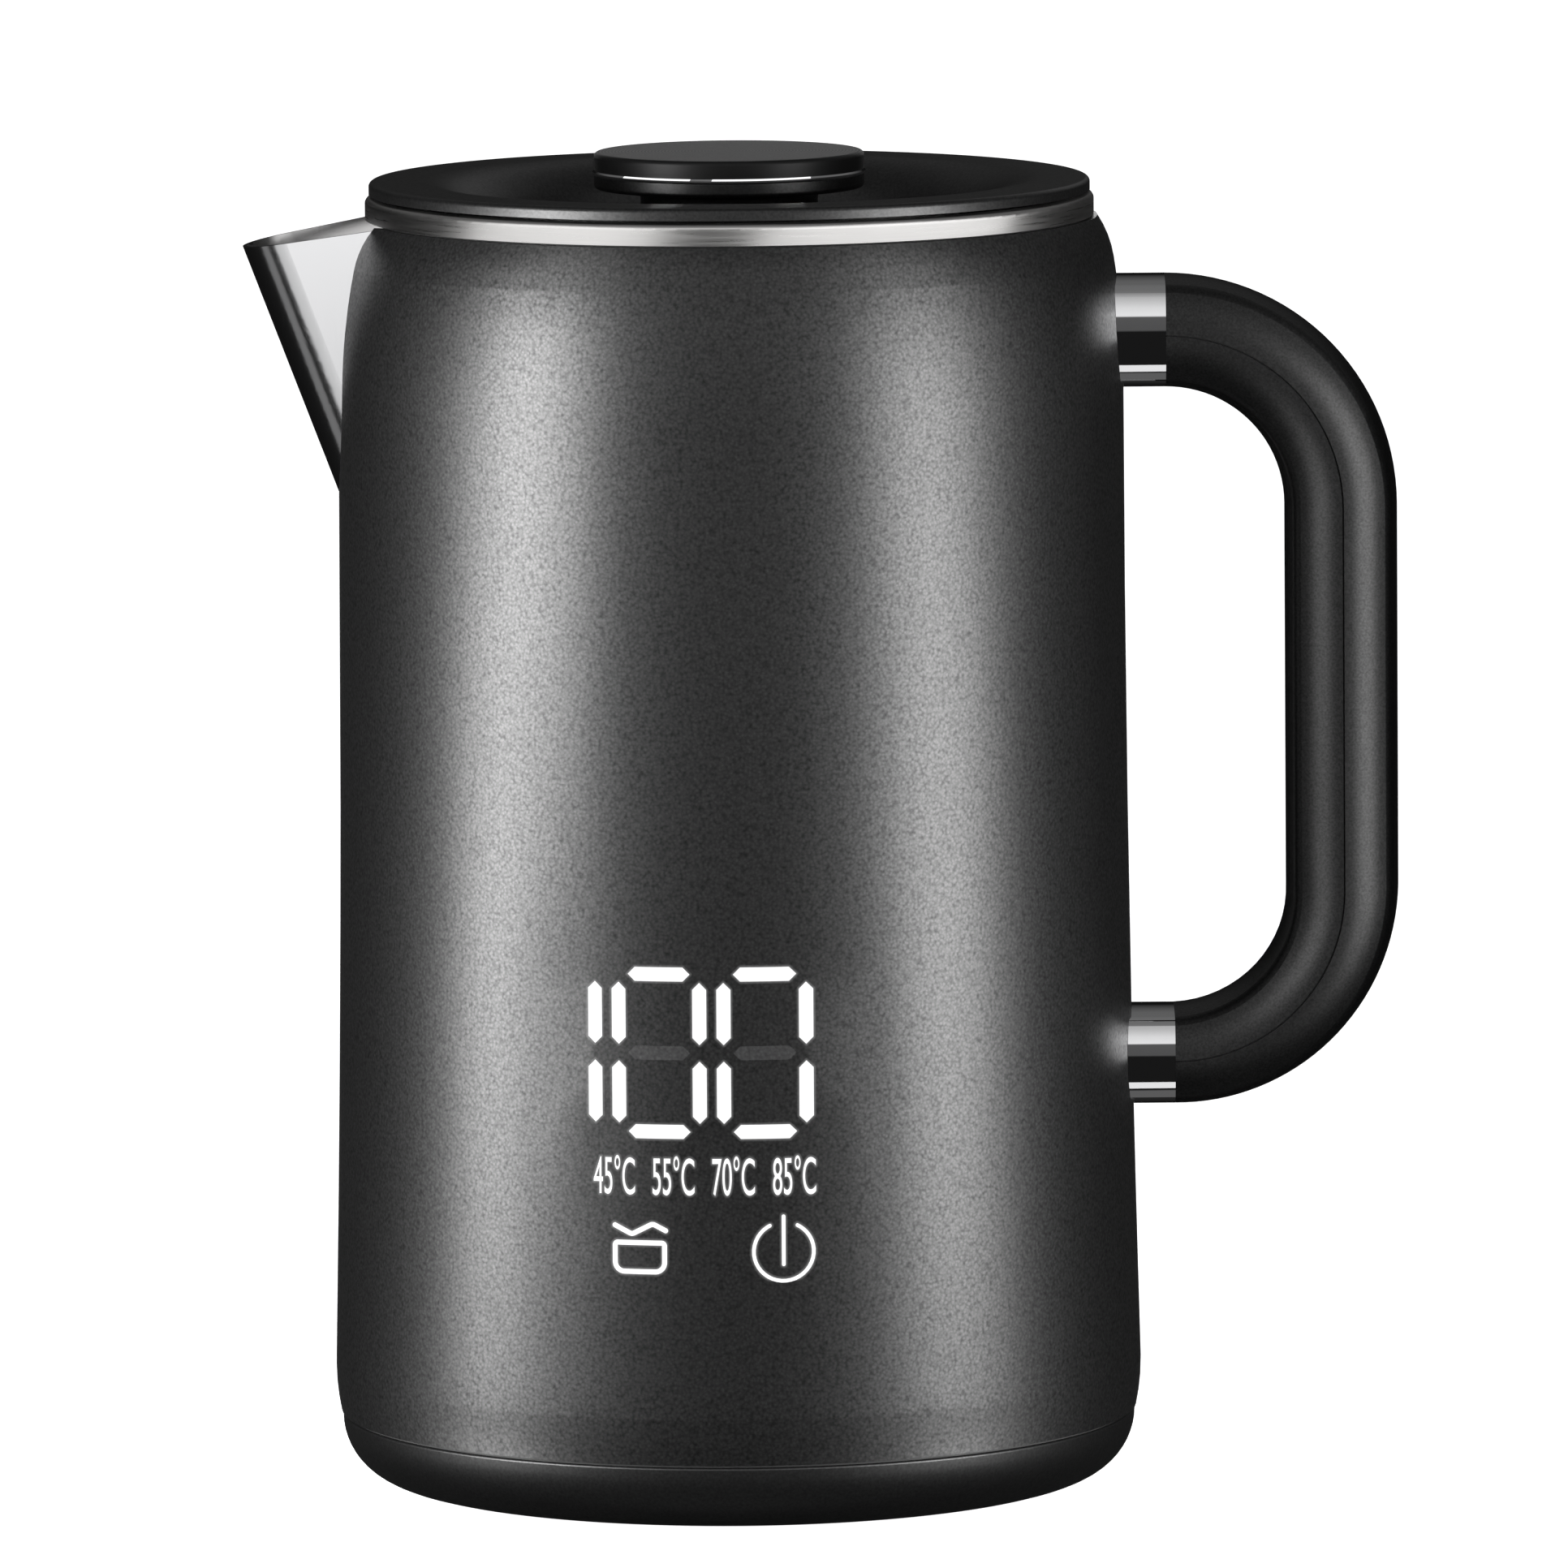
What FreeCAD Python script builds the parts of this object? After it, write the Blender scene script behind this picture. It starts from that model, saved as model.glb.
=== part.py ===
"""Double-wall electric kettle with a pouring lip, a D-shaped handle and a lift-off lid.

The kettle stands on z = 0 with its body axis on Z. The spout points to -X, the handle to +X
and the display faces -Y. All sizes are in millimetres.
"""
import FreeCAD
import Part
import math
import os

V = FreeCAD.Vector
UP = V(0, 0, 1)
ORIGIN = V(0, 0, 0)

# Base, from the table up to the seam
BASE_H = 12.2
BASE_EDGE = 0.5
BASE_STEP = 0.3
BASE_WALL = 3.0
FLOOR_RECESS = 2.6
FLOOR_T = 2.4
HEAD_MARGIN = 0.9
SPIGOT_H = 6.0
SPIGOT_WALL = 2.2
SPIGOT_GAP = 0.3
SEAM_GAP = 0.4
SEAM_INSET = 0.5

# Outer shell, from the seam up: each height and each step inwards adds to the one before
HIP_R = 73.2
FOOT_TUCK = 0.9
WAIST_TUCK = 1.7
WALL_TAPER = 0.5
SHOULDER_TUCK = 1.6
BROW_TUCK = 3.0
HIP_H = 8.4
WALL_H = 179.0
SHOULDER_H = 21.5
BROW_H = 7.8
SHELL_WALL = 2.4

# Inner pot of sheet steel with a rolled rim
RIM_INSET = 0.6
RIM_ROLL = 3.8
RIM_GAP = 0.3
RIM_H = 3.9
RIM_ROUND = 1.2
POT_WALL = 0.8
POT_CORNER_R = 8.0

# Strainer holes in the pot wall behind the spout
STRAINER_HOLE_R = 1.6
STRAINER_PITCH = 4.8
STRAINER_DROP = 7.6
STRAINER_H = 34.0
STRAINER_MARGIN = 3.5

# Spout: a beak of sheet steel whose nose line leans out of the body
SPOUT_REACH = 16.9
SPOUT_TIP_DROP = 8.8
SPOUT_LEAN_DEG = 20.7
SPOUT_LIP_RISE_DEG = 9.5
SPOUT_NOSE_R = 13.0
SPOUT_FLARE_DEG = 19.0
SPOUT_FOOT_NOSE_R = 12.0
SPOUT_FOOT_FLARE_DEG = 16.0
SPOUT_WALL = 0.8
SPOUT_ROOT = 20.0
SPOUT_GAP = 0.2

# Coupler on the underside and its ring contacts
LINE_RING_R = 8.2
CONTACT_PITCH = 5.8
CONTACT_WALL = 0.8
CONTACT_ROOT = 1.5
RING_RECESS = 3.4
EARTH_PIN_R = 2.2
EARTH_PIN_TIP = 1.1
EARTH_PIN_RECESS = 2.0
SOCKET_MARGIN = 5.2
COUPLER_H = 15.4
COUPLER_WALL = 2.8
COUPLER_ROOF = 2.5
COUPLER_GAP = 0.4
COUPLER_FLANGE_W = 8.0
COUPLER_FLANGE_H = 2.5

# Temperature probe through the pot floor
PROBE_R = 3.0
PROBE_FLANGE_W = 3.0
PROBE_FLANGE_H = 1.4
PROBE_REACH = 8.0
PROBE_TAIL = 10.0
PROBE_GASKET_H = 0.8
PROBE_NUT_WALL = 2.0
PROBE_NUT_H = 3.0

# Heater under the pot
HEATER_ROOM = 16.0
PLATE_H = 4.0
NUT_ROOM = 4.0
ELEMENT_INSET = 9.5
ELEMENT_R = 3.4
ELEMENT_FLAT = 0.4
ELEMENT_SWEEP_DEG = 325.0
TERMINAL_LENGTH = 7.0
TERMINAL_WIDTH = 4.8
TERMINAL_T = 1.0
CUTOUT_R = 6.5
CUTOUT_FLANGE_W = 1.5
CUTOUT_FLANGE_H = 1.2
CUTOUT_H = 8.0
CUTOUT_GAP = 3.0
CUTOUT_TO_ELEMENT = 4.6
CUTOUT_ANGLES = (60.0, 300.0)

# Bracket under the pot that the base is screwed to
BRACKET_T = 1.2
BRACKET_W = 7.5
BRACKET_GAP = 1.0
POST_WALL = 2.0
POST_ANGLES = (90.0, 210.0, 330.0)

# Screws
BASE_SCREW_R = 1.5
BASE_SCREW_HEAD_R = 2.8
BASE_SCREW_HEAD_H = 1.9
BASE_SCREW_BITE = 11.0
SMALL_SCREW_R = 1.2
SMALL_SCREW_HEAD_R = 2.3
SMALL_SCREW_HEAD_H = 1.5
SMALL_SCREW_BITE = 2.0
HANDLE_SCREW_R = 2.0
HANDLE_SCREW_HEAD_R = 3.4
HANDLE_SCREW_HEAD_H = 2.4
HANDLE_SCREW_BITE = 8.0
HANDLE_SCREW_PITCH = 11.0
KNOB_SCREW_R = 2.0
KNOB_SCREW_HEAD_R = 4.0
KNOB_SCREW_HEAD_H = 2.6
KNOB_SCREW_BITE = 8.0
LID_SCREW_BITE = 9.0
HEAD_CHAMFER = 0.5
CROSS_MARGIN = 1.0
CROSS_WIDTH = 0.7
CROSS_DEPTH = 1.0
HOLE_GAP = 0.2
PILOT_SPARE = 3.0

# Control board in the base
CONTROL_GAP = 1.0
CONTROL_INSET = 3.3
CONTROL_WIDTH = 34.0
BOARD_T = 1.4
STANDOFF_H = 3.0
STANDOFF_WALL = 1.4
STANDOFF_INSET = 3.2
RELAY_LENGTH = 12.0
RELAY_WIDTH = 16.0
RELAY_H = 10.5
RELAY_INSET = 1.0

# Display behind the shell
DISPLAY_TURN_DEG = -5.2
DISPLAY_RISE = 74.0
DIGIT_H = 28.1
DIGIT_W = 14.5
DIGIT_GAP = 4.3
SEGMENT_WIDTH = 2.5
ACROSS_GAP = 3.4
UPRIGHT_GAP = 2.95
WINDOW_DEPTH = 0.8
BOARD_TO_POT = 0.6
BOARD_SIDE = 1.45
BOARD_MARGIN = 4.1
LED_SIDE = 1.4
LED_H = 0.9
TOUCH_PAD_R = 3.6
TOUCH_PAD_T = 0.4
TOUCH_PAD_GAP = 0.6
MARK_DROP = 8.25
MARK_PITCH = 10.8
MARK_COUNT = 4
KEY_DROP = 13.0
KEY_PLACES = (-11.4, 14.4)

# Handle: two half shells around a D-shaped line, on chrome ferrules
ARM_REACH = 39.15
UPPER_ARM_DROP = 21.1
HANDLE_H = 131.75
GRIP_DEPTH = 26.0
GRIP_T = 20.4
GRIP_TAPER = 2.5
SECTION_EDGE_R = 3.0
SECTION_SIDE_DEG = 30.0
SECTION_EDGE_DEG = 75.0
GRIP_WALL = 2.6
GROOVE_W = 0.3
GROOVE_DEPTH = 0.6
BEND_SECTIONS = 7
UPPER_FERRULE_LENGTH = 7.4
LOWER_FERRULE_LENGTH = 7.95
FERRULE_WALL = 1.2
FERRULE_GAP = 0.1
TENON_LENGTH = 6.0
TENON_GAP = 1.2
BACKING_T = 1.2
BACKING_SIDE = 0.6
BACKING_RIM = 2.6
BOSS_MARGIN = 1.5
HEAD_TO_POT = 0.9

# Lid
LID_INSET = 0.7
LID_GAP = 0.5
LID_T = 2.2
LID_EDGE = 0.9
LID_RIM_W = 9.1
DISH_DEPTH = 11.8
DISH_LIP_R = 12.0
DISH_FLOOR_R = 8.0
SKIRT_GAP = 1.8
SKIRT_WALL = 2.8
SKIRT_ROOM = 8.2
SKIRT_FLOOR = 1.5
LINER_T = 0.6
LINER_INSET = 1.0
SEAL_RISE = 7.0
SEAL_H = 4.0
SEAL_GROOVE = 1.4
SEAL_GAP = 0.3
LID_POST_WALL = 1.7
LID_POST_GAP = 0.8
LID_POST_ANGLES = (30.0, 150.0, 270.0)

# Knob
KNOB_PROUD = 5.0
KNOB_R = 24.4
KNOB_CAP_H = 3.2
KNOB_RING_H = 0.9
KNOB_RING_PROUD = 0.3
KNOB_RING_EDGE = 0.3
KNOB_DISC_H = 2.5
KNOB_NECK_R = 16.0
KNOB_NECK_FILLET = 2.0
KNOB_EDGE = 0.8
KNOB_SPIGOT_R = 6.0
KNOB_SPIGOT_H = 2.0
KNOB_BOSS_R = 18.0
KNOB_FIT = 0.1

# Heights that follow, from the table up
FLOOR_LOW_Z = FLOOR_RECESS
FLOOR_TOP_Z = FLOOR_LOW_Z + FLOOR_T
SEAM_Z = BASE_H
SHELL_LOW_Z = SEAM_Z + SEAM_GAP
HIP_Z = SHELL_LOW_Z + HIP_H
WALL_TOP_Z = HIP_Z + WALL_H
WAIST_Z = (HIP_Z + WALL_TOP_Z) / 2
SHOULDER_Z = WALL_TOP_Z + SHOULDER_H
SHELL_TOP_Z = SHOULDER_Z + BROW_H
RIM_LOW_Z = SHELL_TOP_Z + RIM_GAP
RIM_TOP_Z = RIM_LOW_Z + RIM_H
LID_LOW_Z = RIM_TOP_Z + LID_GAP
LID_TOP_Z = LID_LOW_Z + LID_T
KNOB_TOP_Z = LID_TOP_Z + KNOB_PROUD

# Radii that follow, from the outside in
SHELL_FOOT_R = HIP_R - FOOT_TUCK
WAIST_R = HIP_R - WAIST_TUCK
WALL_TOP_R = WAIST_R - WALL_TAPER
SHOULDER_R = WALL_TOP_R - SHOULDER_TUCK
SHELL_TOP_R = SHOULDER_R - BROW_TUCK
RIM_R = SHELL_TOP_R - RIM_INSET
POT_R = RIM_R - RIM_ROLL
POT_IN_R = POT_R - POT_WALL
BASE_R = SHELL_FOOT_R - BASE_STEP
BASE_ROUND = BASE_H - BASE_EDGE

# Coupler and contacts
NEUTRAL_RING_R = LINE_RING_R + CONTACT_PITCH
SOCKET_R = NEUTRAL_RING_R + SOCKET_MARGIN
COUPLER_R = SOCKET_R + COUPLER_WALL
COUPLER_HOLE_R = COUPLER_R + COUPLER_GAP
COUPLER_FLANGE_R = COUPLER_R + COUPLER_FLANGE_W
COUPLER_TOP_Z = FLOOR_LOW_Z + COUPLER_H
COUPLER_FLANGE_TOP_Z = FLOOR_TOP_Z + COUPLER_FLANGE_H
SOCKET_ROOF_Z = COUPLER_TOP_Z - COUPLER_ROOF
CONTACT_TOP_Z = SOCKET_ROOF_Z + CONTACT_ROOT
RING_LOW_Z = FLOOR_LOW_Z + RING_RECESS
EARTH_PIN_LOW_Z = FLOOR_LOW_Z + EARTH_PIN_RECESS

# Pot floor, heater, bracket and the ring that the kettle stands on
POT_FLOOR_Z = COUPLER_TOP_Z + HEATER_ROOM
POT_IN_Z = POT_FLOOR_Z + POT_WALL
PLATE_LOW_Z = POT_FLOOR_Z - PLATE_H
BRACKET_LOW_Z = POT_FLOOR_Z - BRACKET_T
BRACKET_R = POT_R - POT_CORNER_R
BRACKET_IN_R = BRACKET_R - BRACKET_W
PLATE_R = BRACKET_IN_R - BRACKET_GAP
PROBE_FLANGE_R = PROBE_R + PROBE_FLANGE_W
PLATE_BORE_R = PROBE_R + PROBE_NUT_WALL + NUT_ROOM
ELEMENT_RING_R = PLATE_R - ELEMENT_INSET
ELEMENT_Z = PLATE_LOW_Z - ELEMENT_R + ELEMENT_FLAT
CUTOUT_LOW_R = PLATE_BORE_R + CUTOUT_GAP
CUTOUT_HIGH_R = ELEMENT_RING_R - ELEMENT_R - CUTOUT_TO_ELEMENT
CUTOUT_RING_R = (CUTOUT_LOW_R + CUTOUT_HIGH_R) / 2
CUTOUT_FLANGE_R = CUTOUT_R + CUTOUT_FLANGE_W
POST_R = BASE_SCREW_R + POST_WALL
POST_RING_R = (BRACKET_IN_R + BRACKET_R) / 2
REST_OUT_R = BASE_R - BASE_ROUND
REST_IN_R = POST_RING_R + BASE_SCREW_HEAD_R + HEAD_MARGIN

# Control board and display
CONTROL_X = COUPLER_FLANGE_R + CONTROL_GAP
CONTROL_LENGTH = REST_OUT_R - CONTROL_INSET - CONTROL_X
CONTROL_Z = FLOOR_TOP_Z + STANDOFF_H
STANDOFF_R = SMALL_SCREW_R + STANDOFF_WALL
DISPLAY_MID_Z = SHELL_LOW_Z + DISPLAY_RISE
MARK_Z = DISPLAY_MID_Z - DIGIT_H / 2 - MARK_DROP
KEY_Z = MARK_Z - KEY_DROP
BOARD_TOP_Z = DISPLAY_MID_Z + (DIGIT_H + SEGMENT_WIDTH) / 2 + BOARD_MARGIN
BOARD_LOW_Z = KEY_Z - TOUCH_PAD_R - BOARD_MARGIN
BOARD_HALF_W = DIGIT_GAP + DIGIT_W + SEGMENT_WIDTH / 2 + BOARD_SIDE
BOARD_BACK_Y = POT_R + BOARD_TO_POT
BOARD_FRONT_Y = BOARD_BACK_Y + BOARD_T

# Spout and handle
SPOUT_TIP_X = WALL_TOP_R + SPOUT_REACH
SPOUT_TIP_Z = RIM_TOP_Z - SPOUT_TIP_DROP
SPOUT_BACK_X = POT_R - SPOUT_ROOT
STRAINER_HIGH_Z = RIM_LOW_Z - STRAINER_DROP
STRAINER_LOW_Z = STRAINER_HIGH_Z - STRAINER_H
GRIP_X = WALL_TOP_R + ARM_REACH
LOWER_T = GRIP_T - GRIP_TAPER
UPPER_ARM_Z = SHELL_TOP_Z - UPPER_ARM_DROP
LOWER_ARM_Z = UPPER_ARM_Z - HANDLE_H
UPPER_END_X = WALL_TOP_R + UPPER_FERRULE_LENGTH
LOWER_END_X = WAIST_R + LOWER_FERRULE_LENGTH
UPPER_BEND_R = GRIP_X - UPPER_END_X
LOWER_BEND_R = GRIP_X - LOWER_END_X
UPPER_BEND_Z = UPPER_ARM_Z - UPPER_BEND_R
LOWER_BEND_Z = LOWER_ARM_Z + LOWER_BEND_R
SEAT_X = POT_R + HEAD_TO_POT + HANDLE_SCREW_HEAD_H + BACKING_T
BACKING_HALF_Y = HANDLE_SCREW_PITCH / 2 + HANDLE_SCREW_HEAD_R + BACKING_SIDE
BACKING_HALF_Z = HANDLE_SCREW_HEAD_R + BACKING_RIM

# Lid and knob
LID_R = RIM_R - LID_INSET
DISH_EDGE_R = LID_R - LID_RIM_W
DISH_FLOOR_Z = LID_TOP_Z - DISH_DEPTH
DISH_LOW_Z = DISH_FLOOR_Z - LID_T
SKIRT_R = POT_IN_R - SKIRT_GAP
SKIRT_IN_R = SKIRT_R - SKIRT_WALL
SKIRT_LOW_Z = DISH_LOW_Z - SKIRT_ROOM
SKIRT_FLOOR_Z = SKIRT_LOW_Z + SKIRT_FLOOR
SEAL_LOW_Z = SKIRT_LOW_Z + SEAL_RISE
SEAL_TOP_Z = SEAL_LOW_Z + SEAL_H
LID_POST_R = BASE_SCREW_R + LID_POST_WALL
LID_POST_RING_R = SKIRT_IN_R - LID_POST_R - LID_POST_GAP
CAP_LOW_Z = KNOB_TOP_Z - KNOB_CAP_H
KNOB_RING_LOW_Z = CAP_LOW_Z - KNOB_RING_H
KNOB_DISC_LOW_Z = KNOB_RING_LOW_Z - KNOB_DISC_H

# A length that reaches past every piece
FAR = 4 * max(KNOB_TOP_Z, GRIP_X)


def point(radius, height):
    """A point of a profile in the XZ plane."""
    return V(radius, 0, height)


def line(start, end):
    """A straight edge of a profile."""
    return Part.LineSegment(start, end).toShape()


def arc(start, middle, end):
    """A circular edge of a profile through three points."""
    return Part.Arc(start, middle, end).toShape()


def fillet_arc(centre, radius, start_deg, end_deg):
    """A circular edge of a profile about a centre, in the XZ plane."""
    spots = []
    for deg in (start_deg, (start_deg + end_deg) / 2, end_deg):
        turn = math.radians(deg)
        spots.append(centre + V(radius * math.cos(turn), 0, radius * math.sin(turn)))
    return arc(*spots)


def tangent_arc(start, heading, end):
    """The arc that leaves start along heading, with the heading at its end, both in radians."""
    chord = end - start
    chord_angle = math.atan2(chord.z, chord.x)
    turn = chord_angle - heading
    bulge = chord.Length / 2 * math.tan(turn / 2)
    side = V(math.sin(chord_angle), 0, -math.cos(chord_angle))
    middle = (start + end) * 0.5 + side * bulge
    return arc(start, middle, end), heading + 2 * turn


def turned(edges):
    """A solid of revolution about Z from the edges of a closed profile."""
    wire = Part.Wire(Part.__sortEdges__(edges))
    return Part.Face(wire).revolve(ORIGIN, UP, 360)


def turned_polygon(*corners):
    """A solid of revolution about Z from the corners of a profile, as (radius, height)."""
    spots = [point(*corner) for corner in corners]
    return turned([line(a, b) for a, b in zip(spots, spots[1:] + spots[:1])])


def disc(radius, low, high, x=0.0, y=0.0):
    """An upright cylinder between two heights."""
    return Part.makeCylinder(radius, high - low, V(x, y, low))


def tube(inner, outer, low, high):
    """An upright pipe about Z between two heights."""
    return disc(outer, low, high).cut(disc(inner, low, high))


def block(low, high):
    """A box between two corners."""
    size = high - low
    return Part.makeBox(size.x, size.y, size.z, low)


def on_ring(radius, degrees):
    """The X and Y of a place on a ring about Z."""
    turn = math.radians(degrees)
    return radius * math.cos(turn), radius * math.sin(turn)


def prism_y(corners):
    """A prism along -Y from a polygon of (x, z) corners, long enough to cross the front wall."""
    spots = [V(x, 0, z) for x, z in corners]
    face = Part.Face(Part.makePolygon(spots + spots[:1]))
    return face.extrude(V(0, -FAR, 0))


def joined(shapes):
    """One solid from shapes that touch."""
    whole = shapes[0].fuse(shapes[1:]) if len(shapes) > 1 else shapes[0]
    return whole.removeSplitter()


def group(shapes):
    """Separate solids kept together."""
    return Part.makeCompound(shapes)


def screw(shank_r, head_r, head_h, length):
    """A pan-head cross screw along +Z with the underside of its head on z = 0."""
    flat_r, side_z = head_r - HEAD_CHAMFER, HEAD_CHAMFER - head_h
    head = turned_polygon((0, -head_h), (flat_r, -head_h), (head_r, side_z), (head_r, 0), (0, 0))
    half, slot = head_r - CROSS_MARGIN, CROSS_WIDTH / 2
    low, high = -head_h, CROSS_DEPTH - head_h
    cross = [block(V(-u, -v, low), V(u, v, high)) for u, v in ((half, slot), (slot, half))]
    return joined([head.cut(cross), disc(shank_r, 0, length)])


def small_screw(length):
    """A small screw driven from above, with the underside of its head on z = 0."""
    form = screw(SMALL_SCREW_R, SMALL_SCREW_HEAD_R, SMALL_SCREW_HEAD_H, length)
    return form.rotated(ORIGIN, V(1, 0, 0), 180)


def shell_edges(inset):
    """The shell's outline from the seam to the top edge, moved inwards by inset."""
    foot = point(SHELL_FOOT_R - inset, SHELL_LOW_Z)
    hip = point(HIP_R - inset, HIP_Z)
    waist = point(WAIST_R - inset, WAIST_Z)
    top = point(WALL_TOP_R - inset, WALL_TOP_Z)
    shoulder = point(SHOULDER_R - inset, SHOULDER_Z)
    edge = point(SHELL_TOP_R - inset, SHELL_TOP_Z)
    hip_round, _ = tangent_arc(hip, -math.pi / 2, foot)
    slope, heading = tangent_arc(top, math.pi / 2, shoulder)
    brow, _ = tangent_arc(shoulder, heading, edge)
    return [hip_round, arc(hip, waist, top), slope, brow], foot, edge


def shell_solid(inset):
    """Everything inside the shell's outline moved inwards by inset."""
    edges, foot, edge = shell_edges(inset)
    floor, roof = point(0, foot.z), point(0, edge.z)
    return turned(edges + [line(foot, floor), line(floor, roof), line(roof, edge)])


def spout_section(height, grow):
    """The closed plan outline of the spout at a height, grown outwards by grow."""
    foot_z = spout_foot_z()
    share = (height - foot_z) / (SPOUT_TIP_Z - foot_z)
    radius = SPOUT_FOOT_NOSE_R + share * (SPOUT_NOSE_R - SPOUT_FOOT_NOSE_R)
    flare = math.radians(SPOUT_FOOT_FLARE_DEG + share * (SPOUT_FLARE_DEG - SPOUT_FOOT_FLARE_DEG))
    centre = spout_nose_x(height) + radius
    radius += grow
    tangent_x = centre - radius * math.sin(flare)
    tangent_y = radius * math.cos(flare)
    back_y = tangent_y - (SPOUT_BACK_X + tangent_x) * math.tan(flare)
    nose = V(centre - radius, 0, height)
    left, right = V(tangent_x, tangent_y, height), V(tangent_x, -tangent_y, height)
    back_left, back_right = V(-SPOUT_BACK_X, back_y, height), V(-SPOUT_BACK_X, -back_y, height)
    sides = [line(right, back_right), line(back_right, back_left), line(back_left, left)]
    return Part.Wire([arc(left, nose, right)] + sides)


def spout_nose_x(height):
    """Where the spout's nose line stands at a height."""
    return -SPOUT_TIP_X + (SPOUT_TIP_Z - height) * math.tan(math.radians(SPOUT_LEAN_DEG))


def spout_foot_z():
    """The height where the nose line has run into the pot."""
    return SPOUT_TIP_Z - (SPOUT_TIP_X - POT_IN_R) / math.tan(math.radians(SPOUT_LEAN_DEG))


def spout_solid(grow):
    """The spout's filled form, grown outwards by grow, up to the rim."""
    heights = (spout_foot_z(), RIM_TOP_Z)
    return Part.makeLoft([spout_section(z, grow) for z in heights], True, True)


def above_lip():
    """The space above the spout's lip, which rises from the tip towards the body."""
    rise = math.tan(math.radians(SPOUT_LIP_RISE_DEG))
    body_z = SPOUT_TIP_Z + rise * (SPOUT_TIP_X + FAR)
    corners = [(-SPOUT_TIP_X - FAR, SPOUT_TIP_Z - rise * FAR), (FAR, body_z), (FAR, FAR + body_z)]
    spots = [V(x, FAR, z) for x, z in corners + [(-SPOUT_TIP_X - FAR, FAR + body_z)]]
    return Part.Face(Part.makePolygon(spots + spots[:1])).extrude(V(0, -2 * FAR, 0))


def make_spout():
    """Sheet-steel beak, open at the top, welded round the strainer and tucked under the rim."""
    hollow = spout_solid(0).cut(spout_solid(-SPOUT_WALL))
    rim_room = disc(RIM_R + SPOUT_GAP, SHELL_TOP_Z, FAR)
    return hollow.cut([disc(POT_R, 0, FAR), rim_room, above_lip()])


def make_inner_pot():
    """Deep-drawn pot with a rolled rim, a probe hole and strainer holes behind the spout."""
    inner_corner = POT_CORNER_R - POT_WALL
    low_centre = point(POT_R - POT_CORNER_R, POT_FLOOR_Z + POT_CORNER_R)
    rim_centre = point(RIM_R - RIM_ROUND, RIM_TOP_Z - RIM_ROUND)
    mouth_centre = point(POT_IN_R + RIM_ROUND, RIM_TOP_Z - RIM_ROUND)
    corner_z = low_centre.z
    edges = [
        line(point(0, POT_FLOOR_Z), point(low_centre.x, POT_FLOOR_Z)),
        fillet_arc(low_centre, POT_CORNER_R, -90, 0),
        line(point(POT_R, corner_z), point(POT_R, RIM_TOP_Z - POT_WALL)),
        line(point(POT_R, RIM_TOP_Z - POT_WALL), point(RIM_R - POT_WALL, RIM_TOP_Z - POT_WALL)),
        line(point(RIM_R - POT_WALL, RIM_TOP_Z - POT_WALL), point(RIM_R - POT_WALL, RIM_LOW_Z)),
        line(point(RIM_R - POT_WALL, RIM_LOW_Z), point(RIM_R, RIM_LOW_Z)),
        line(point(RIM_R, RIM_LOW_Z), point(RIM_R, rim_centre.z)),
        fillet_arc(rim_centre, RIM_ROUND, 0, 90),
        line(point(rim_centre.x, RIM_TOP_Z), point(mouth_centre.x, RIM_TOP_Z)),
        fillet_arc(mouth_centre, RIM_ROUND, 90, 180),
        line(point(POT_IN_R, mouth_centre.z), point(POT_IN_R, corner_z)),
        fillet_arc(low_centre, inner_corner, 0, -90),
        line(point(low_centre.x, POT_IN_Z), point(0, POT_IN_Z)),
        line(point(0, POT_IN_Z), point(0, POT_FLOOR_Z)),
    ]
    return turned(edges).cut([disc(PROBE_R, 0, POT_IN_Z + PROBE_R)] + strainer_holes())


def strainer_holes():
    """Drills for the rows of strainer holes, as wide as the spout is at each row."""
    drills = []
    rows = int((STRAINER_HIGH_Z - STRAINER_LOW_Z) / STRAINER_PITCH) + 1
    for row in range(rows):
        height = STRAINER_LOW_Z + row * STRAINER_PITCH
        room = spout_room(height) - STRAINER_MARGIN
        side_holes = int(room / STRAINER_PITCH)
        for place in range(-side_holes, side_holes + 1):
            turn = 180 + math.degrees(place * STRAINER_PITCH / POT_R)
            direction = V(*on_ring(1, turn), 0)
            start = direction * (POT_IN_R - STRAINER_PITCH) + UP * height
            drills.append(Part.makeCylinder(STRAINER_HOLE_R, 2 * STRAINER_PITCH, start, direction))
    return drills


def spout_room(height):
    """Half the width between the spout's walls where they meet the pot, at a height."""
    section = Part.Face(spout_section(height, -SPOUT_WALL))
    ring = Part.Wire(Part.makeCircle(POT_R, V(0, 0, height), UP))
    return section.common(ring).BoundBox.YMax


def make_rim_gasket():
    """Soft ring between the pot wall and the top of the shell, under the rolled rim."""
    return tube(POT_R, RIM_R - POT_WALL, SHELL_TOP_Z, RIM_TOP_Z - POT_WALL)


def handle_boss(arm_z):
    """Flat seat inside the shell for one arm of the handle."""
    half_y = BACKING_HALF_Y + BOSS_MARGIN
    half_z = BACKING_HALF_Z + BOSS_MARGIN
    return block(V(SEAT_X, -half_y, arm_z - half_z), V(FAR, half_y, arm_z + half_z))


def handle_screw_places():
    """The Y and Z of every handle screw."""
    places = []
    for arm_z in (UPPER_ARM_Z, LOWER_ARM_Z):
        for side in (-0.5, 0.5):
            places.append((side * HANDLE_SCREW_PITCH, arm_z))
    return places


def handle_screw_holes(radius):
    """Drills along X for the handle screws."""
    return [Part.makeCylinder(radius, FAR, V(POT_R, y, z), V(1, 0, 0)) for y, z in handle_screw_places()]


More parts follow.
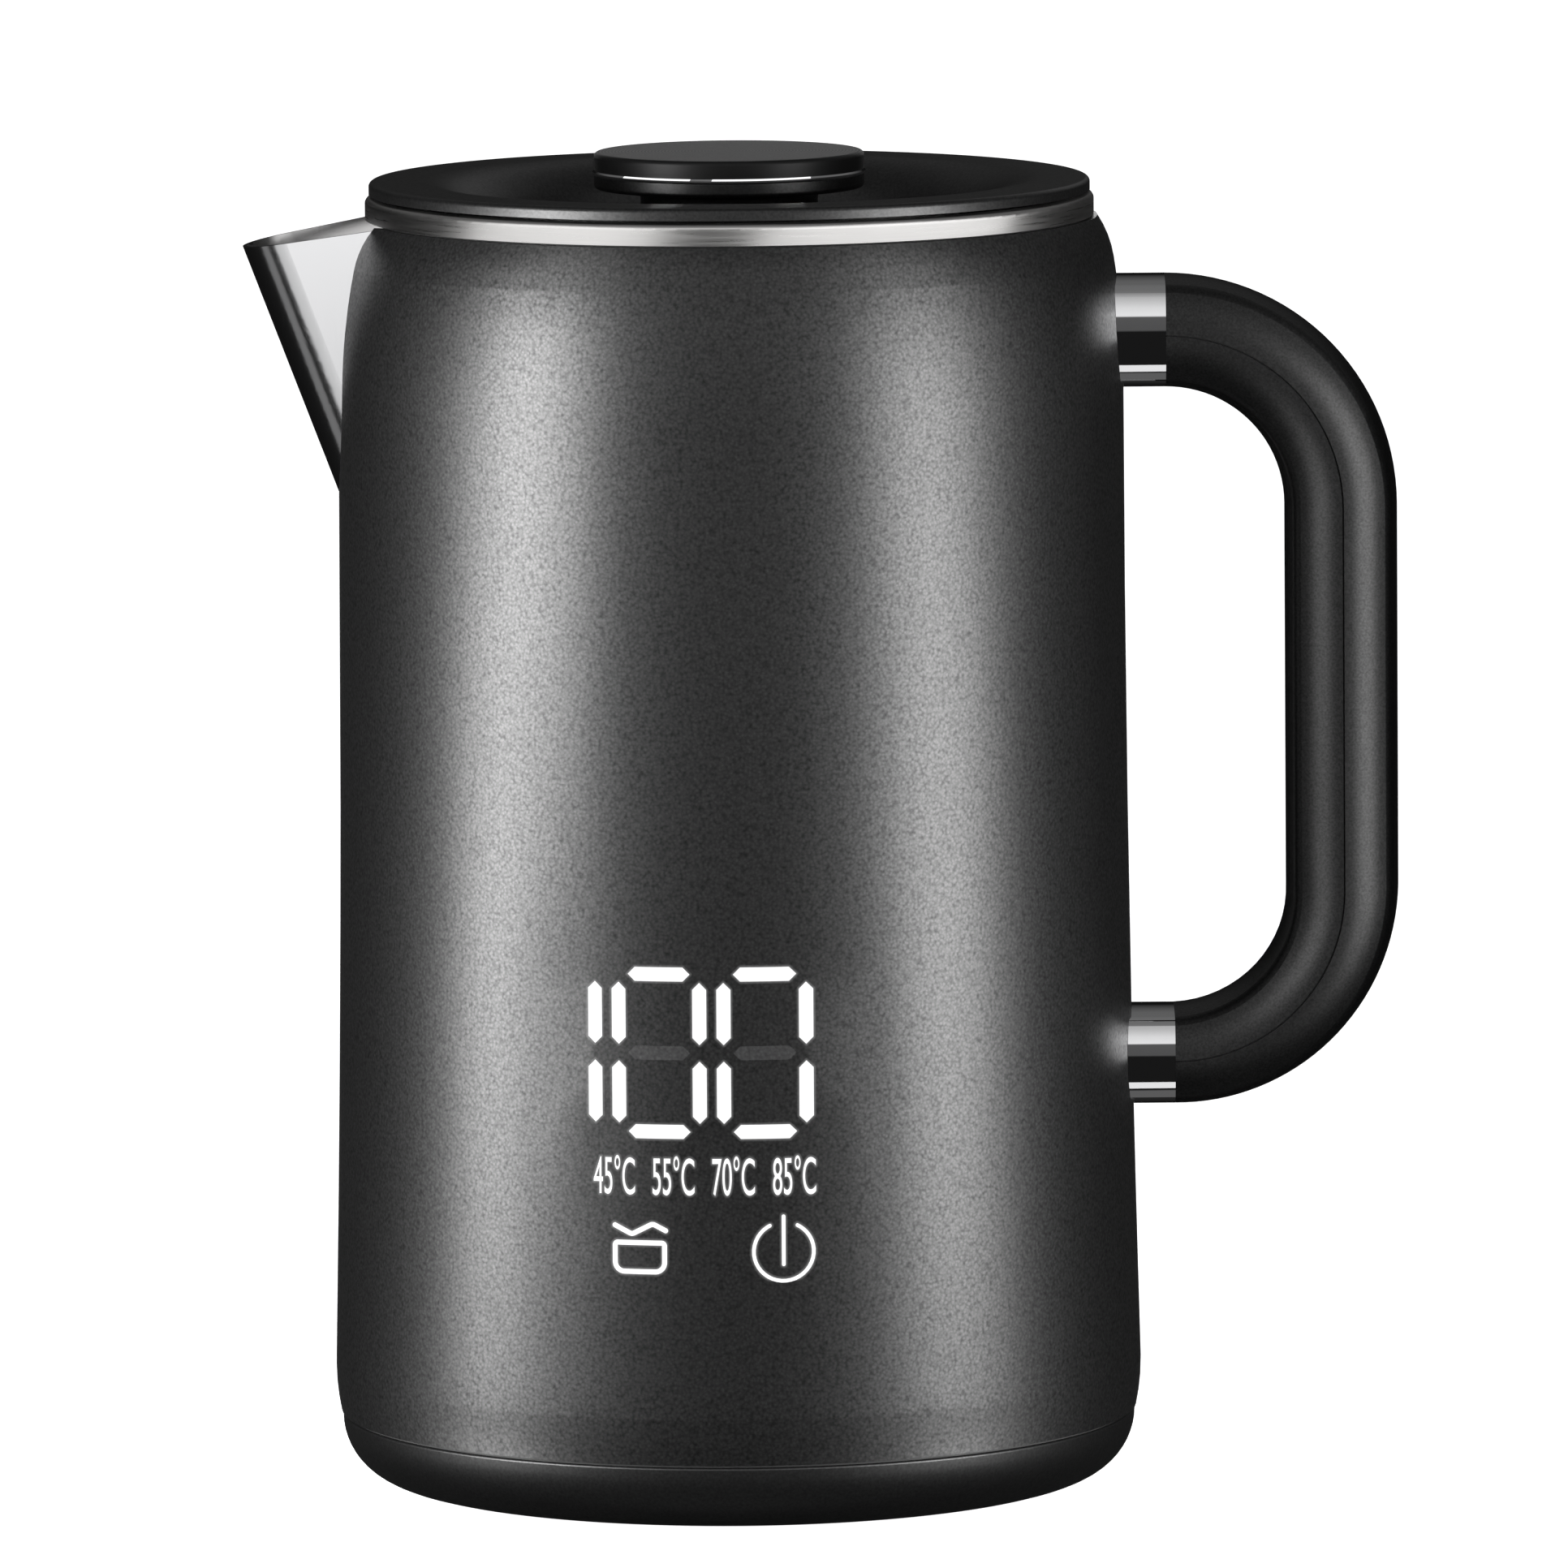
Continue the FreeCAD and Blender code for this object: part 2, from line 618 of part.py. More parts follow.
def make_outer_shell(windows):
    """Moulded outer wall with seats for the handle, a gap for the spout and display pockets."""
    whole = shell_solid(0)
    wall = whole.cut(shell_solid(SHELL_WALL))
    bosses = [handle_boss(z).common(whole) for z in (UPPER_ARM_Z, LOWER_ARM_Z)]
    wall = joined([wall] + bosses)
    drills = handle_screw_holes(HANDLE_SCREW_R + HOLE_GAP)
    return wall.cut([spout_solid(SPOUT_GAP)] + drills + windows)


def make_base_cup():
    """Base with a rounded foot, a spigot inside the shell, standoffs and the coupler hole."""
    centre = point(REST_OUT_R, BASE_ROUND)
    inner_r = BASE_ROUND - BASE_WALL
    floor_turn = math.degrees(math.asin((FLOOR_TOP_Z - BASE_ROUND) / inner_r))
    floor_x = REST_OUT_R + inner_r * math.cos(math.radians(floor_turn))
    wall_in = REST_OUT_R + inner_r
    spigot_out = SHELL_FOOT_R - SHELL_WALL - SPIGOT_GAP
    spigot_in = spigot_out - SPIGOT_WALL
    spigot_top = SEAM_Z + SPIGOT_H
    edges = [
        line(point(REST_IN_R, 0), point(REST_OUT_R, 0)),
        fillet_arc(centre, BASE_ROUND, -90, 0),
        fillet_arc(point(BASE_R - BASE_EDGE, BASE_ROUND), BASE_EDGE, 0, 90),
        line(point(BASE_R - BASE_EDGE, SEAM_Z), point(spigot_out, SEAM_Z)),
        line(point(spigot_out, SEAM_Z), point(spigot_out, spigot_top)),
        line(point(spigot_out, spigot_top), point(spigot_in, spigot_top)),
        line(point(spigot_in, spigot_top), point(spigot_in, BASE_ROUND)),
        line(point(spigot_in, BASE_ROUND), point(wall_in, BASE_ROUND)),
        fillet_arc(centre, inner_r, 0, floor_turn),
        line(point(floor_x, FLOOR_TOP_Z), point(COUPLER_HOLE_R, FLOOR_TOP_Z)),
        line(point(COUPLER_HOLE_R, FLOOR_TOP_Z), point(COUPLER_HOLE_R, FLOOR_LOW_Z)),
        line(point(COUPLER_HOLE_R, FLOOR_LOW_Z), point(REST_IN_R, FLOOR_LOW_Z)),
        line(point(REST_IN_R, FLOOR_LOW_Z), point(REST_IN_R, 0)),
    ]
    cup = turned(edges)
    standoffs = [disc(STANDOFF_R, FLOOR_TOP_Z, CONTROL_Z, x, y) for x, y in standoff_places()]
    pilots = [disc(SMALL_SCREW_R, FLOOR_TOP_Z, CONTROL_Z, x, y) for x, y in standoff_places()]
    holes = [disc(BASE_SCREW_R + HOLE_GAP, 0, FLOOR_TOP_Z, x, y) for x, y in post_places()]
    flange_pilots = [disc(SMALL_SCREW_R, FLOOR_TOP_Z - SMALL_SCREW_BITE, FLOOR_TOP_Z, x, y)
                     for x, y in coupler_screw_places()]
    return joined([cup] + standoffs).cut(pilots + holes + flange_pilots)


def make_base_gasket():
    """Soft ring that fills the seam between the base and the shell."""
    inner = SHELL_FOOT_R - SHELL_WALL
    return tube(inner, BASE_R - SEAM_INSET, SEAM_Z, SHELL_LOW_Z)


def standoff_places():
    """The X and Y of the control board's standoffs."""
    xs = (CONTROL_X + STANDOFF_INSET, CONTROL_X + CONTROL_LENGTH - STANDOFF_INSET)
    half = CONTROL_WIDTH / 2 - STANDOFF_INSET
    return [(x, y) for x in xs for y in (-half, half)]


def post_places():
    """The X and Y of the bracket's posts."""
    return [on_ring(POST_RING_R, angle) for angle in POST_ANGLES]


def coupler_screw_places():
    """The X and Y of the coupler's screws, half-way across its flange."""
    ring = (COUPLER_R + COUPLER_FLANGE_R) / 2
    return [on_ring(ring, angle) for angle in POST_ANGLES]


def make_pot_bracket():
    """Ring under the pot floor with three posts that the base is screwed to."""
    ring = tube(BRACKET_IN_R, BRACKET_R, BRACKET_LOW_Z, POT_FLOOR_Z)
    pilot_top = FLOOR_TOP_Z + BASE_SCREW_BITE + PILOT_SPARE
    posts = [disc(POST_R, FLOOR_TOP_Z, POT_FLOOR_Z, x, y) for x, y in post_places()]
    pilots = [disc(BASE_SCREW_R, FLOOR_TOP_Z, pilot_top, x, y) for x, y in post_places()]
    return joined([ring] + posts).cut(pilots)


def make_base_screws():
    """Screws from below that pull the base and the shell up against the pot's rim."""
    length = FLOOR_TOP_Z - FLOOR_LOW_Z + BASE_SCREW_BITE
    form = screw(BASE_SCREW_R, BASE_SCREW_HEAD_R, BASE_SCREW_HEAD_H, length)
    return group([form.translated(V(x, y, FLOOR_LOW_Z)) for x, y in post_places()])


def make_heater_plate():
    """Heat-spreading plate brazed under the pot floor."""
    return tube(PLATE_BORE_R, PLATE_R, PLATE_LOW_Z, POT_FLOOR_Z)


def make_heater_element():
    """Heating tube in an open ring, flattened where it is brazed to the plate."""
    ring = Part.makeTorus(ELEMENT_RING_R, ELEMENT_R, V(0, 0, ELEMENT_Z), UP, -180, 180, ELEMENT_SWEEP_DEG)
    return ring.cut(disc(PLATE_R, PLATE_LOW_Z, POT_FLOOR_Z))


def make_element_terminals():
    """Flat tabs on the two cold ends of the heating tube."""
    half_w, half_t = TERMINAL_WIDTH / 2, TERMINAL_T / 2
    low = V(ELEMENT_RING_R - half_t, 0, ELEMENT_Z - half_w)
    high = V(ELEMENT_RING_R + half_t, TERMINAL_LENGTH, ELEMENT_Z + half_w)
    end_tab = block(low, high).rotated(ORIGIN, UP, ELEMENT_SWEEP_DEG)
    start_tab = block(V(low.x, -TERMINAL_LENGTH, low.z), V(high.x, 0, high.z))
    return group([start_tab, end_tab])


def make_dry_boil_cutouts():
    """Two bimetal cut-outs pressed against the heater plate."""
    low = PLATE_LOW_Z - CUTOUT_H
    flange = PLATE_LOW_Z - CUTOUT_FLANGE_H
    places = [on_ring(CUTOUT_RING_R, angle) for angle in CUTOUT_ANGLES]
    return group([
        joined([disc(CUTOUT_R, low, flange, x, y), disc(CUTOUT_FLANGE_R, flange, PLATE_LOW_Z, x, y)])
        for x, y in places
    ])


def make_temperature_probe():
    """Steel thimble through the pot floor, with a flange inside the pot."""
    flange = POT_IN_Z + PROBE_GASKET_H
    tip = flange + PROBE_FLANGE_H + PROBE_REACH - PROBE_R
    stem = disc(PROBE_R, POT_FLOOR_Z - PROBE_TAIL, tip)
    head = disc(PROBE_FLANGE_R, flange, flange + PROBE_FLANGE_H)
    dome = Part.makeSphere(PROBE_R, V(0, 0, tip), UP, 0, 90, 360)
    return joined([stem, head, dome])


def make_probe_gasket():
    """Soft washer under the probe's flange."""
    return tube(PROBE_R, PROBE_FLANGE_R, POT_IN_Z, POT_IN_Z + PROBE_GASKET_H)


def make_probe_nut():
    """Hexagonal nut that holds the probe from below."""
    radius = (PROBE_R + PROBE_NUT_WALL) / math.cos(math.radians(30))
    corners = [V(*on_ring(radius, 60 * i), POT_FLOOR_Z - PROBE_NUT_H) for i in range(7)]
    prism = Part.Face(Part.makePolygon(corners)).extrude(UP * PROBE_NUT_H)
    return prism.cut(disc(PROBE_R, 0, POT_IN_Z))


def make_coupler_body():
    """Round socket housing in the base, with slots in its roof for the contacts."""
    body = joined([
        disc(COUPLER_R, FLOOR_LOW_Z, COUPLER_TOP_Z),
        disc(COUPLER_FLANGE_R, FLOOR_TOP_Z, COUPLER_FLANGE_TOP_Z),
    ])
    holes = [disc(SMALL_SCREW_R + HOLE_GAP, 0, COUPLER_TOP_Z, x, y) for x, y in coupler_screw_places()]
    contacts = [make_earth_pin(), make_contact_ring(LINE_RING_R), make_contact_ring(NEUTRAL_RING_R)]
    return body.cut([disc(SOCKET_R, 0, SOCKET_ROOF_Z)] + holes + contacts)


def make_earth_pin():
    """Round earth contact on the body axis, through the coupler's roof."""
    tip_r = EARTH_PIN_R - EARTH_PIN_TIP
    cone = Part.makeCone(tip_r, EARTH_PIN_R, EARTH_PIN_TIP, V(0, 0, EARTH_PIN_LOW_Z))
    return joined([cone, disc(EARTH_PIN_R, EARTH_PIN_LOW_Z + EARTH_PIN_TIP, COUPLER_TOP_Z)])


def make_contact_ring(radius):
    """Ring contact that meets the base at any angle, set into the coupler's roof."""
    return tube(radius - CONTACT_WALL, radius, RING_LOW_Z, CONTACT_TOP_Z)


def make_coupler_screws():
    """Short screws through the coupler's flange into the base."""
    form = small_screw(COUPLER_FLANGE_H + SMALL_SCREW_BITE)
    return group([form.translated(V(x, y, COUPLER_FLANGE_TOP_Z)) for x, y in coupler_screw_places()])


def make_control_board():
    """Power board flat in the base, on four standoffs."""
    half = CONTROL_WIDTH / 2
    board = block(V(CONTROL_X, -half, CONTROL_Z), V(CONTROL_X + CONTROL_LENGTH, half, CONTROL_Z + BOARD_T))
    return board.cut([disc(SMALL_SCREW_R + HOLE_GAP, 0, COUPLER_TOP_Z, x, y) for x, y in standoff_places()])


def make_power_relay():
    """Relay block on the control board."""
    end = CONTROL_X + CONTROL_LENGTH - RELAY_INSET
    half = RELAY_WIDTH / 2
    low = CONTROL_Z + BOARD_T
    return block(V(end - RELAY_LENGTH, -half, low), V(end, half, low + RELAY_H))


def make_board_screws():
    """Short screws that hold the control board on its standoffs."""
    form = small_screw(BOARD_T + SMALL_SCREW_BITE)
    return group([form.translated(V(x, y, CONTROL_Z + BOARD_T)) for x, y in standoff_places()])


def bar_corners(length):
    """The corners of a bar with pointed ends, along u, about its middle."""
    half, tip = length / 2, SEGMENT_WIDTH / 2
    flat = half - tip
    return [(-half, 0), (-flat, tip), (flat, tip), (half, 0), (flat, -tip), (-flat, -tip)]


def upright_segment(x, z):
    """The corners of one upright display segment."""
    return [(x - v, z + u) for u, v in bar_corners(DIGIT_H / 2 - UPRIGHT_GAP)]


def across_segment(x, z):
    """The corners of one level display segment."""
    return [(x + u, z + v) for u, v in bar_corners(DIGIT_W - ACROSS_GAP)]


def digit_columns():
    """The X of the upright segments: the single stroke, then both sides of each full digit."""
    return [-DIGIT_GAP - DIGIT_W, -DIGIT_W, 0, DIGIT_GAP, DIGIT_GAP + DIGIT_W]


def lit_segments():
    """The outlines of the segments that show 100."""
    outlines = []
    for x in digit_columns():
        for side in (-0.25, 0.25):
            outlines.append(upright_segment(x, DISPLAY_MID_Z + side * DIGIT_H))
    for x in digit_middles():
        for side in (-0.5, 0.5):
            outlines.append(across_segment(x, DISPLAY_MID_Z + side * DIGIT_H))
    return outlines


def dark_segments():
    """The outlines of the middle segments, which a zero leaves dark."""
    return [across_segment(x, DISPLAY_MID_Z) for x in digit_middles()]


def digit_middles():
    """The X of the middle of each full digit."""
    return [-DIGIT_W / 2, DIGIT_GAP + DIGIT_W / 2]


def turned_to_display(shape):
    """Turn a shape that faces -Y to where the display is on the body."""
    return shape.rotated(ORIGIN, UP, DISPLAY_TURN_DEG)


def make_windows(outlines):
    """Clear inlays flush with the shell, one for each segment outline."""
    skin = shell_solid(0).cut(shell_solid(WINDOW_DEPTH))
    return [turned_to_display(skin.common(prism_y(corners))) for corners in outlines]


def make_display_board():
    """Upright board between the pot and the shell, behind the display."""
    low = V(-BOARD_HALF_W, -BOARD_FRONT_Y, BOARD_LOW_Z)
    return turned_to_display(block(low, V(BOARD_HALF_W, -BOARD_BACK_Y, BOARD_TOP_Z)))


def outline_middle(corners):
    """The middle of an outline."""
    xs, zs = zip(*corners)
    return (min(xs) + max(xs)) / 2, (min(zs) + max(zs)) / 2


def make_display_leds():
    """One small lamp on the board behind each segment."""
    half = LED_SIDE / 2
    lamps = []
    for corners in lit_segments() + dark_segments():
        x, z = outline_middle(corners)
        low = V(x - half, -BOARD_FRONT_Y - LED_H, z - half)
        lamps.append(turned_to_display(block(low, V(x + half, -BOARD_FRONT_Y, z + half))))
    return group(lamps)


def touch_places():
    """The X and Z of the touch keys: two icons and a row of temperature marks."""
    first = -MARK_PITCH * (MARK_COUNT - 1) / 2
    marks = [(first + i * MARK_PITCH, MARK_Z) for i in range(MARK_COUNT)]
    return [(x, KEY_Z) for x in KEY_PLACES] + marks


def touch_drills():
    """Drills along Y through the touch keys."""
    return [Part.makeCylinder(TOUCH_PAD_R, FAR, V(x, 0, z), V(0, -1, 0)) for x, z in touch_places()]


def make_touch_pads():
    """Thin metal pads in the light box, a film's thickness behind the shell, one for each touch key."""
    outside = SHELL_WALL + TOUCH_PAD_GAP
    skin = shell_solid(outside).cut(shell_solid(outside + TOUCH_PAD_T))
    return group([turned_to_display(skin.common(drill)) for drill in touch_drills()])


def make_light_box():
    """White block between the board and the shell, with cells for the segments and seats for the pads."""
    body = block(V(-BOARD_HALF_W, -FAR, BOARD_LOW_Z), V(BOARD_HALF_W, -BOARD_FRONT_Y, BOARD_TOP_Z))
    body = body.common(shell_solid(SHELL_WALL))
    cells = [prism_y(corners) for corners in lit_segments() + dark_segments()]
    core = shell_solid(SHELL_WALL + TOUCH_PAD_GAP + TOUCH_PAD_T)
    seats = [drill.cut(core) for drill in touch_drills()]
    return turned_to_display(body.cut(cells + seats))


def arch_edges(thick, depth, edge_r):
    """Half of the handle's section as (u, v) arcs: u leaves the parting line, v runs along Y."""
    side, edge = math.radians(SECTION_SIDE_DEG), math.radians(SECTION_EDGE_DEG)
    s1, c1, s2, c2 = math.sin(side), math.cos(side), math.sin(edge), math.cos(edge)
    rise = thick - edge_r * (s2 - s1)
    reach = depth - edge_r * (c1 - c2)
    bottom = s1 * c2 - (1 - s2) * (1 - c1)
    side_r = (rise * c2 - reach * (1 - s2)) / bottom
    top_r = (reach * s1 - rise * (1 - c1)) / bottom
    edge_u, edge_v = (side_r - edge_r) * s1, depth - side_r + (side_r - edge_r) * c1
    turns = (0, side, edge, math.pi / 2)
    centres = (0, depth - side_r, side_r), (edge_u, edge_v, edge_r), (thick - top_r, 0, top_r)
    arcs = []
    for (u, v, radius), start, end in zip(centres, turns, turns[1:]):
        angles = (start, (start + end) / 2, end)
        arcs.append([(u + radius * math.sin(a), v + radius * math.cos(a)) for a in angles])
    return arcs


def section_wire(thick, depth, sign, place):
    """A closed half section of the handle, on the outer (1) or inner (-1) side of the line."""
    arcs = arch_edges(thick, depth, SECTION_EDGE_R)
    edges = [arc(*[place(sign * u, v) for u, v in spots]) for spots in arcs]
    edges += [arc(*[place(sign * u, -v) for u, v in reversed(spots)]) for spots in reversed(arcs)]
    edges.append(line(place(0, -depth), place(0, depth)))
    return Part.Wire(edges)


def upper_place(u, v):
    """A place in the section where the upper arm meets its ferrule."""
    return V(UPPER_END_X, v, UPPER_ARM_Z + u)


def grip_place(u, v):
    """A place in the section at the top of the straight grip."""
    return V(GRIP_X + u, v, UPPER_BEND_Z)


def bend_place(degrees):
    """Places in the section of the lower bend, after turning by an angle."""
    turn = math.radians(degrees)

    def place(u, v):
        """A place in this section."""
        radius = LOWER_BEND_R + u
        return V(LOWER_END_X + radius * math.cos(turn), v, LOWER_BEND_Z - radius * math.sin(turn))

    return place


def swept_handle(make_wire):
    """Sweep a section round the handle's line: upper bend, straight grip, tapering lower bend."""
    half = GRIP_T / 2
    upper = Part.Face(make_wire(half, upper_place))
    bend = upper.revolve(V(UPPER_END_X, 0, UPPER_BEND_Z), V(0, 1, 0), 90)
    grip = Part.Face(make_wire(half, grip_place)).extrude(V(0, 0, LOWER_BEND_Z - UPPER_BEND_Z))
    wires = []
    for i in range(BEND_SECTIONS):
        share = i / (BEND_SECTIONS - 1)
        wires.append(make_wire(half + share * (LOWER_T - GRIP_T) / 2, bend_place(90 * share)))
    tail = Part.makeLoft(wires, True, False)
    return joined([bend, grip, tail])


def handle_half(sign):
    """The filled outer (1) or inner (-1) half of the handle."""
    return swept_handle(lambda thick, place: section_wire(thick, GRIP_DEPTH / 2, sign, place))


def handle_void(sign):
    """The hollow of one half of the handle."""
    depth = GRIP_DEPTH / 2 - GRIP_WALL
    return swept_handle(lambda thick, place: section_wire(thick - GRIP_WALL, depth, sign, place))


def groove_strip(side):
    """A thin strip along the parting line on one side of the handle."""
    near, far = side * (GRIP_DEPTH / 2 - GROOVE_DEPTH), side * GRIP_DEPTH
    half = GROOVE_W / 2

    def wire(_thick, place):
        """The strip's section."""
        corners = [place(-half, near), place(half, near), place(half, far), place(-half, far)]
        return Part.makePolygon(corners + corners[:1])

    return swept_handle(wire)


def make_handle_half(sign):
    """One half shell of the handle, with a groove along the parting line."""
    return handle_half(sign).cut([handle_void(sign), groove_strip(-1), groove_strip(1)])


def arm_prism(thick, depth, arm_z, start_x, end_x):
    """A straight bar along X with the handle's section."""
    halves = []
    for sign in (1, -1):
        wire = section_wire(thick, depth, sign, lambda u, v: V(start_x, v, arm_z + u))
        halves.append(Part.Face(wire).extrude(V(end_x - start_x, 0, 0)))
    return joined(halves)


def make_ferrule(thick, arm_z, end_x):
    """Bright sleeve between the shell and one arm of the handle, shaped to the shell."""
    half, depth = thick / 2, GRIP_DEPTH / 2
    sleeve = arm_prism(half, depth, arm_z, POT_R, end_x)
    bore = arm_prism(half - FERRULE_WALL, depth - FERRULE_WALL, arm_z, POT_R, end_x)
    return sleeve.cut([bore, shell_solid(0)])


def make_anchor(thick, arm_z, end_x):
    """Block inside a ferrule with a tenon that holds the two halves of the handle."""
    half, depth = thick / 2, GRIP_DEPTH / 2
    inset = FERRULE_WALL + FERRULE_GAP
    core = arm_prism(half - inset, depth - inset, arm_z, POT_R, end_x)
    slim = GRIP_WALL + TENON_GAP
    tenon = arm_prism(half - slim, depth - slim, arm_z, end_x, end_x + TENON_LENGTH)
    return joined([core, tenon]).cut([shell_solid(0)] + handle_screw_holes(HANDLE_SCREW_R))


def make_handle_screws():
    """Screws from inside the shell into the two anchors."""
    form = screw(HANDLE_SCREW_R, HANDLE_SCREW_HEAD_R, HANDLE_SCREW_HEAD_H, handle_screw_length())
    form = form.rotated(ORIGIN, V(0, 1, 0), 90)
    return group([form.translated(V(SEAT_X - BACKING_T, y, z)) for y, z in handle_screw_places()])


def handle_screw_length():
    """The length of a handle screw, from its head through the wall into the anchor."""
    return WALL_TOP_R - SEAT_X + BACKING_T + HANDLE_SCREW_BITE


def make_backing_plates():
    """Steel plates that spread the load of the handle screws inside the shell."""
    corner = V(BACKING_T, BACKING_HALF_Y, BACKING_HALF_Z)
    plates = []
    for z in (UPPER_ARM_Z, LOWER_ARM_Z):
        plate = block(V(SEAT_X, 0, z) - corner, V(SEAT_X, BACKING_HALF_Y, z + BACKING_HALF_Z))
        plates.append(plate.cut(handle_screw_holes(HANDLE_SCREW_R + HOLE_GAP)))
    return group(plates)


def dish_turn():
    """The angle that the dish's wall reaches between its two rounds."""
    return math.acos(1 - DISH_DEPTH / (DISH_LIP_R + DISH_FLOOR_R))


def make_lid_cover():
    """Lid moulding: a flat rim that rolls over into a dish round the knob, with screw posts."""
    turn = dish_turn()
    degrees = math.degrees(turn)
    lip = point(DISH_EDGE_R, LID_TOP_Z - DISH_LIP_R)
    floor_r = DISH_EDGE_R - (DISH_LIP_R + DISH_FLOOR_R) * math.sin(turn)
    hollow = point(floor_r, DISH_FLOOR_Z + DISH_FLOOR_R)
    rim = point(LID_R - LID_EDGE, LID_TOP_Z - LID_EDGE)
    edges = [
        line(point(LID_R, LID_LOW_Z), point(LID_R, rim.z)),
        fillet_arc(rim, LID_EDGE, 0, 90),
        line(point(rim.x, LID_TOP_Z), point(lip.x, LID_TOP_Z)),
        fillet_arc(lip, DISH_LIP_R, 90, 90 + degrees),
        fillet_arc(hollow, DISH_FLOOR_R, degrees - 90, -90),
        line(point(floor_r, DISH_FLOOR_Z), point(0, DISH_FLOOR_Z)),
        line(point(0, DISH_FLOOR_Z), point(0, DISH_LOW_Z)),
        line(point(0, DISH_LOW_Z), point(floor_r, DISH_LOW_Z)),
        fillet_arc(hollow, DISH_FLOOR_R + LID_T, -90, degrees - 90),
        fillet_arc(lip, DISH_LIP_R - LID_T, 90 + degrees, 90),
        line(point(lip.x, LID_LOW_Z), point(LID_R, LID_LOW_Z)),
    ]
    cover = joined([turned(edges)] + lid_posts(lip))
    pilot_top = SKIRT_FLOOR_Z + LID_SCREW_BITE + PILOT_SPARE
    pilots = [disc(BASE_SCREW_R, 0, pilot_top, x, y) for x, y in lid_post_places()]
    return cover.cut(pilots + [disc(KNOB_SCREW_R + HOLE_GAP, 0, LID_TOP_Z)])


def lid_posts(lip):
    """Screw posts that reach up into the dish's rolled lip, about the lip's centre ring."""
    middle_r = DISH_LIP_R - LID_T / 2
    roof = Part.makeTorus(lip.x, middle_r, V(0, 0, lip.z))
    column = disc(lip.x, SKIRT_FLOOR_Z, lip.z).fuse(roof)
    return [disc(LID_POST_R, SKIRT_FLOOR_Z, LID_TOP_Z, x, y).common(column) for x, y in lid_post_places()]


def lid_post_places():
    """The X and Y of the posts under the lid."""
    return [on_ring(LID_POST_RING_R, angle) for angle in LID_POST_ANGLES]


def make_lid_skirt():
    """Cup under the lid that fills the pot's mouth, with a groove for the seal."""
    groove_r = SKIRT_R - SEAL_GROOVE
    cup = turned_polygon(
        (0, SKIRT_LOW_Z), (SKIRT_R, SKIRT_LOW_Z), (SKIRT_R, SEAL_LOW_Z), (groove_r, SEAL_LOW_Z),
        (groove_r, SEAL_TOP_Z), (SKIRT_R, SEAL_TOP_Z), (SKIRT_R, LID_LOW_Z),
        (SKIRT_IN_R, LID_LOW_Z), (SKIRT_IN_R, SKIRT_FLOOR_Z), (0, SKIRT_FLOOR_Z),
    )
    return cup.cut([disc(BASE_SCREW_R + HOLE_GAP, 0, LID_TOP_Z, x, y) for x, y in lid_post_places()])


def make_lid_liner():
    """Steel plate on the underside of the lid."""
    plate = disc(SKIRT_R - LINER_INSET, SKIRT_LOW_Z - LINER_T, SKIRT_LOW_Z)
    return plate.cut([disc(BASE_SCREW_R + HOLE_GAP, 0, LID_TOP_Z, x, y) for x, y in lid_post_places()])


def make_lid_seal():
    """Soft ring in the skirt's groove with two lips towards the pot wall."""
    root, lip = SKIRT_R - SEAL_GROOVE, POT_IN_R - SEAL_GAP
    ridges = (SKIRT_R, lip, SKIRT_R, SKIRT_R, lip, SKIRT_R)
    step = SEAL_H / (len(ridges) - 1)
    face = [(radius, SEAL_LOW_Z + i * step) for i, radius in enumerate(ridges)]
    return turned_polygon((root, SEAL_LOW_Z), *face, (root, SEAL_TOP_Z))


def make_lid_screws():
    """Screws from below through the liner and the skirt into the cover's posts."""
    length = LINER_T + SKIRT_FLOOR + LID_SCREW_BITE
    form = screw(BASE_SCREW_R, BASE_SCREW_HEAD_R, BASE_SCREW_HEAD_H, length)
    return group([form.translated(V(x, y, SKIRT_LOW_Z - LINER_T)) for x, y in lid_post_places()])


def make_knob_base():
    """Neck and lower disc of the knob, standing in the dish."""
    neck_top = KNOB_DISC_LOW_Z - KNOB_NECK_FILLET
    fillet = point(KNOB_NECK_R + KNOB_NECK_FILLET, neck_top)
    low_edge = point(KNOB_R - KNOB_EDGE, KNOB_DISC_LOW_Z + KNOB_EDGE)
    boss_r = KNOB_BOSS_R - KNOB_FIT
    socket_r = KNOB_SPIGOT_R + KNOB_FIT
    socket_z = CAP_LOW_Z - KNOB_SPIGOT_H - KNOB_FIT
    edges = [
        line(point(0, DISH_FLOOR_Z), point(KNOB_NECK_R, DISH_FLOOR_Z)),
        line(point(KNOB_NECK_R, DISH_FLOOR_Z), point(KNOB_NECK_R, neck_top)),
        fillet_arc(fillet, KNOB_NECK_FILLET, 180, 90),
        line(point(fillet.x, KNOB_DISC_LOW_Z), point(low_edge.x, KNOB_DISC_LOW_Z)),
        fillet_arc(low_edge, KNOB_EDGE, -90, 0),
        line(point(KNOB_R, low_edge.z), point(KNOB_R, KNOB_RING_LOW_Z)),
        line(point(KNOB_R, KNOB_RING_LOW_Z), point(boss_r, KNOB_RING_LOW_Z)),
        line(point(boss_r, KNOB_RING_LOW_Z), point(boss_r, CAP_LOW_Z)),
        line(point(boss_r, CAP_LOW_Z), point(socket_r, CAP_LOW_Z)),
        line(point(socket_r, CAP_LOW_Z), point(socket_r, socket_z)),
        line(point(socket_r, socket_z), point(0, socket_z)),
        line(point(0, socket_z), point(0, DISH_FLOOR_Z)),
    ]
    return turned(edges).cut(disc(KNOB_SCREW_R, DISH_FLOOR_Z, DISH_FLOOR_Z + KNOB_SCREW_BITE))


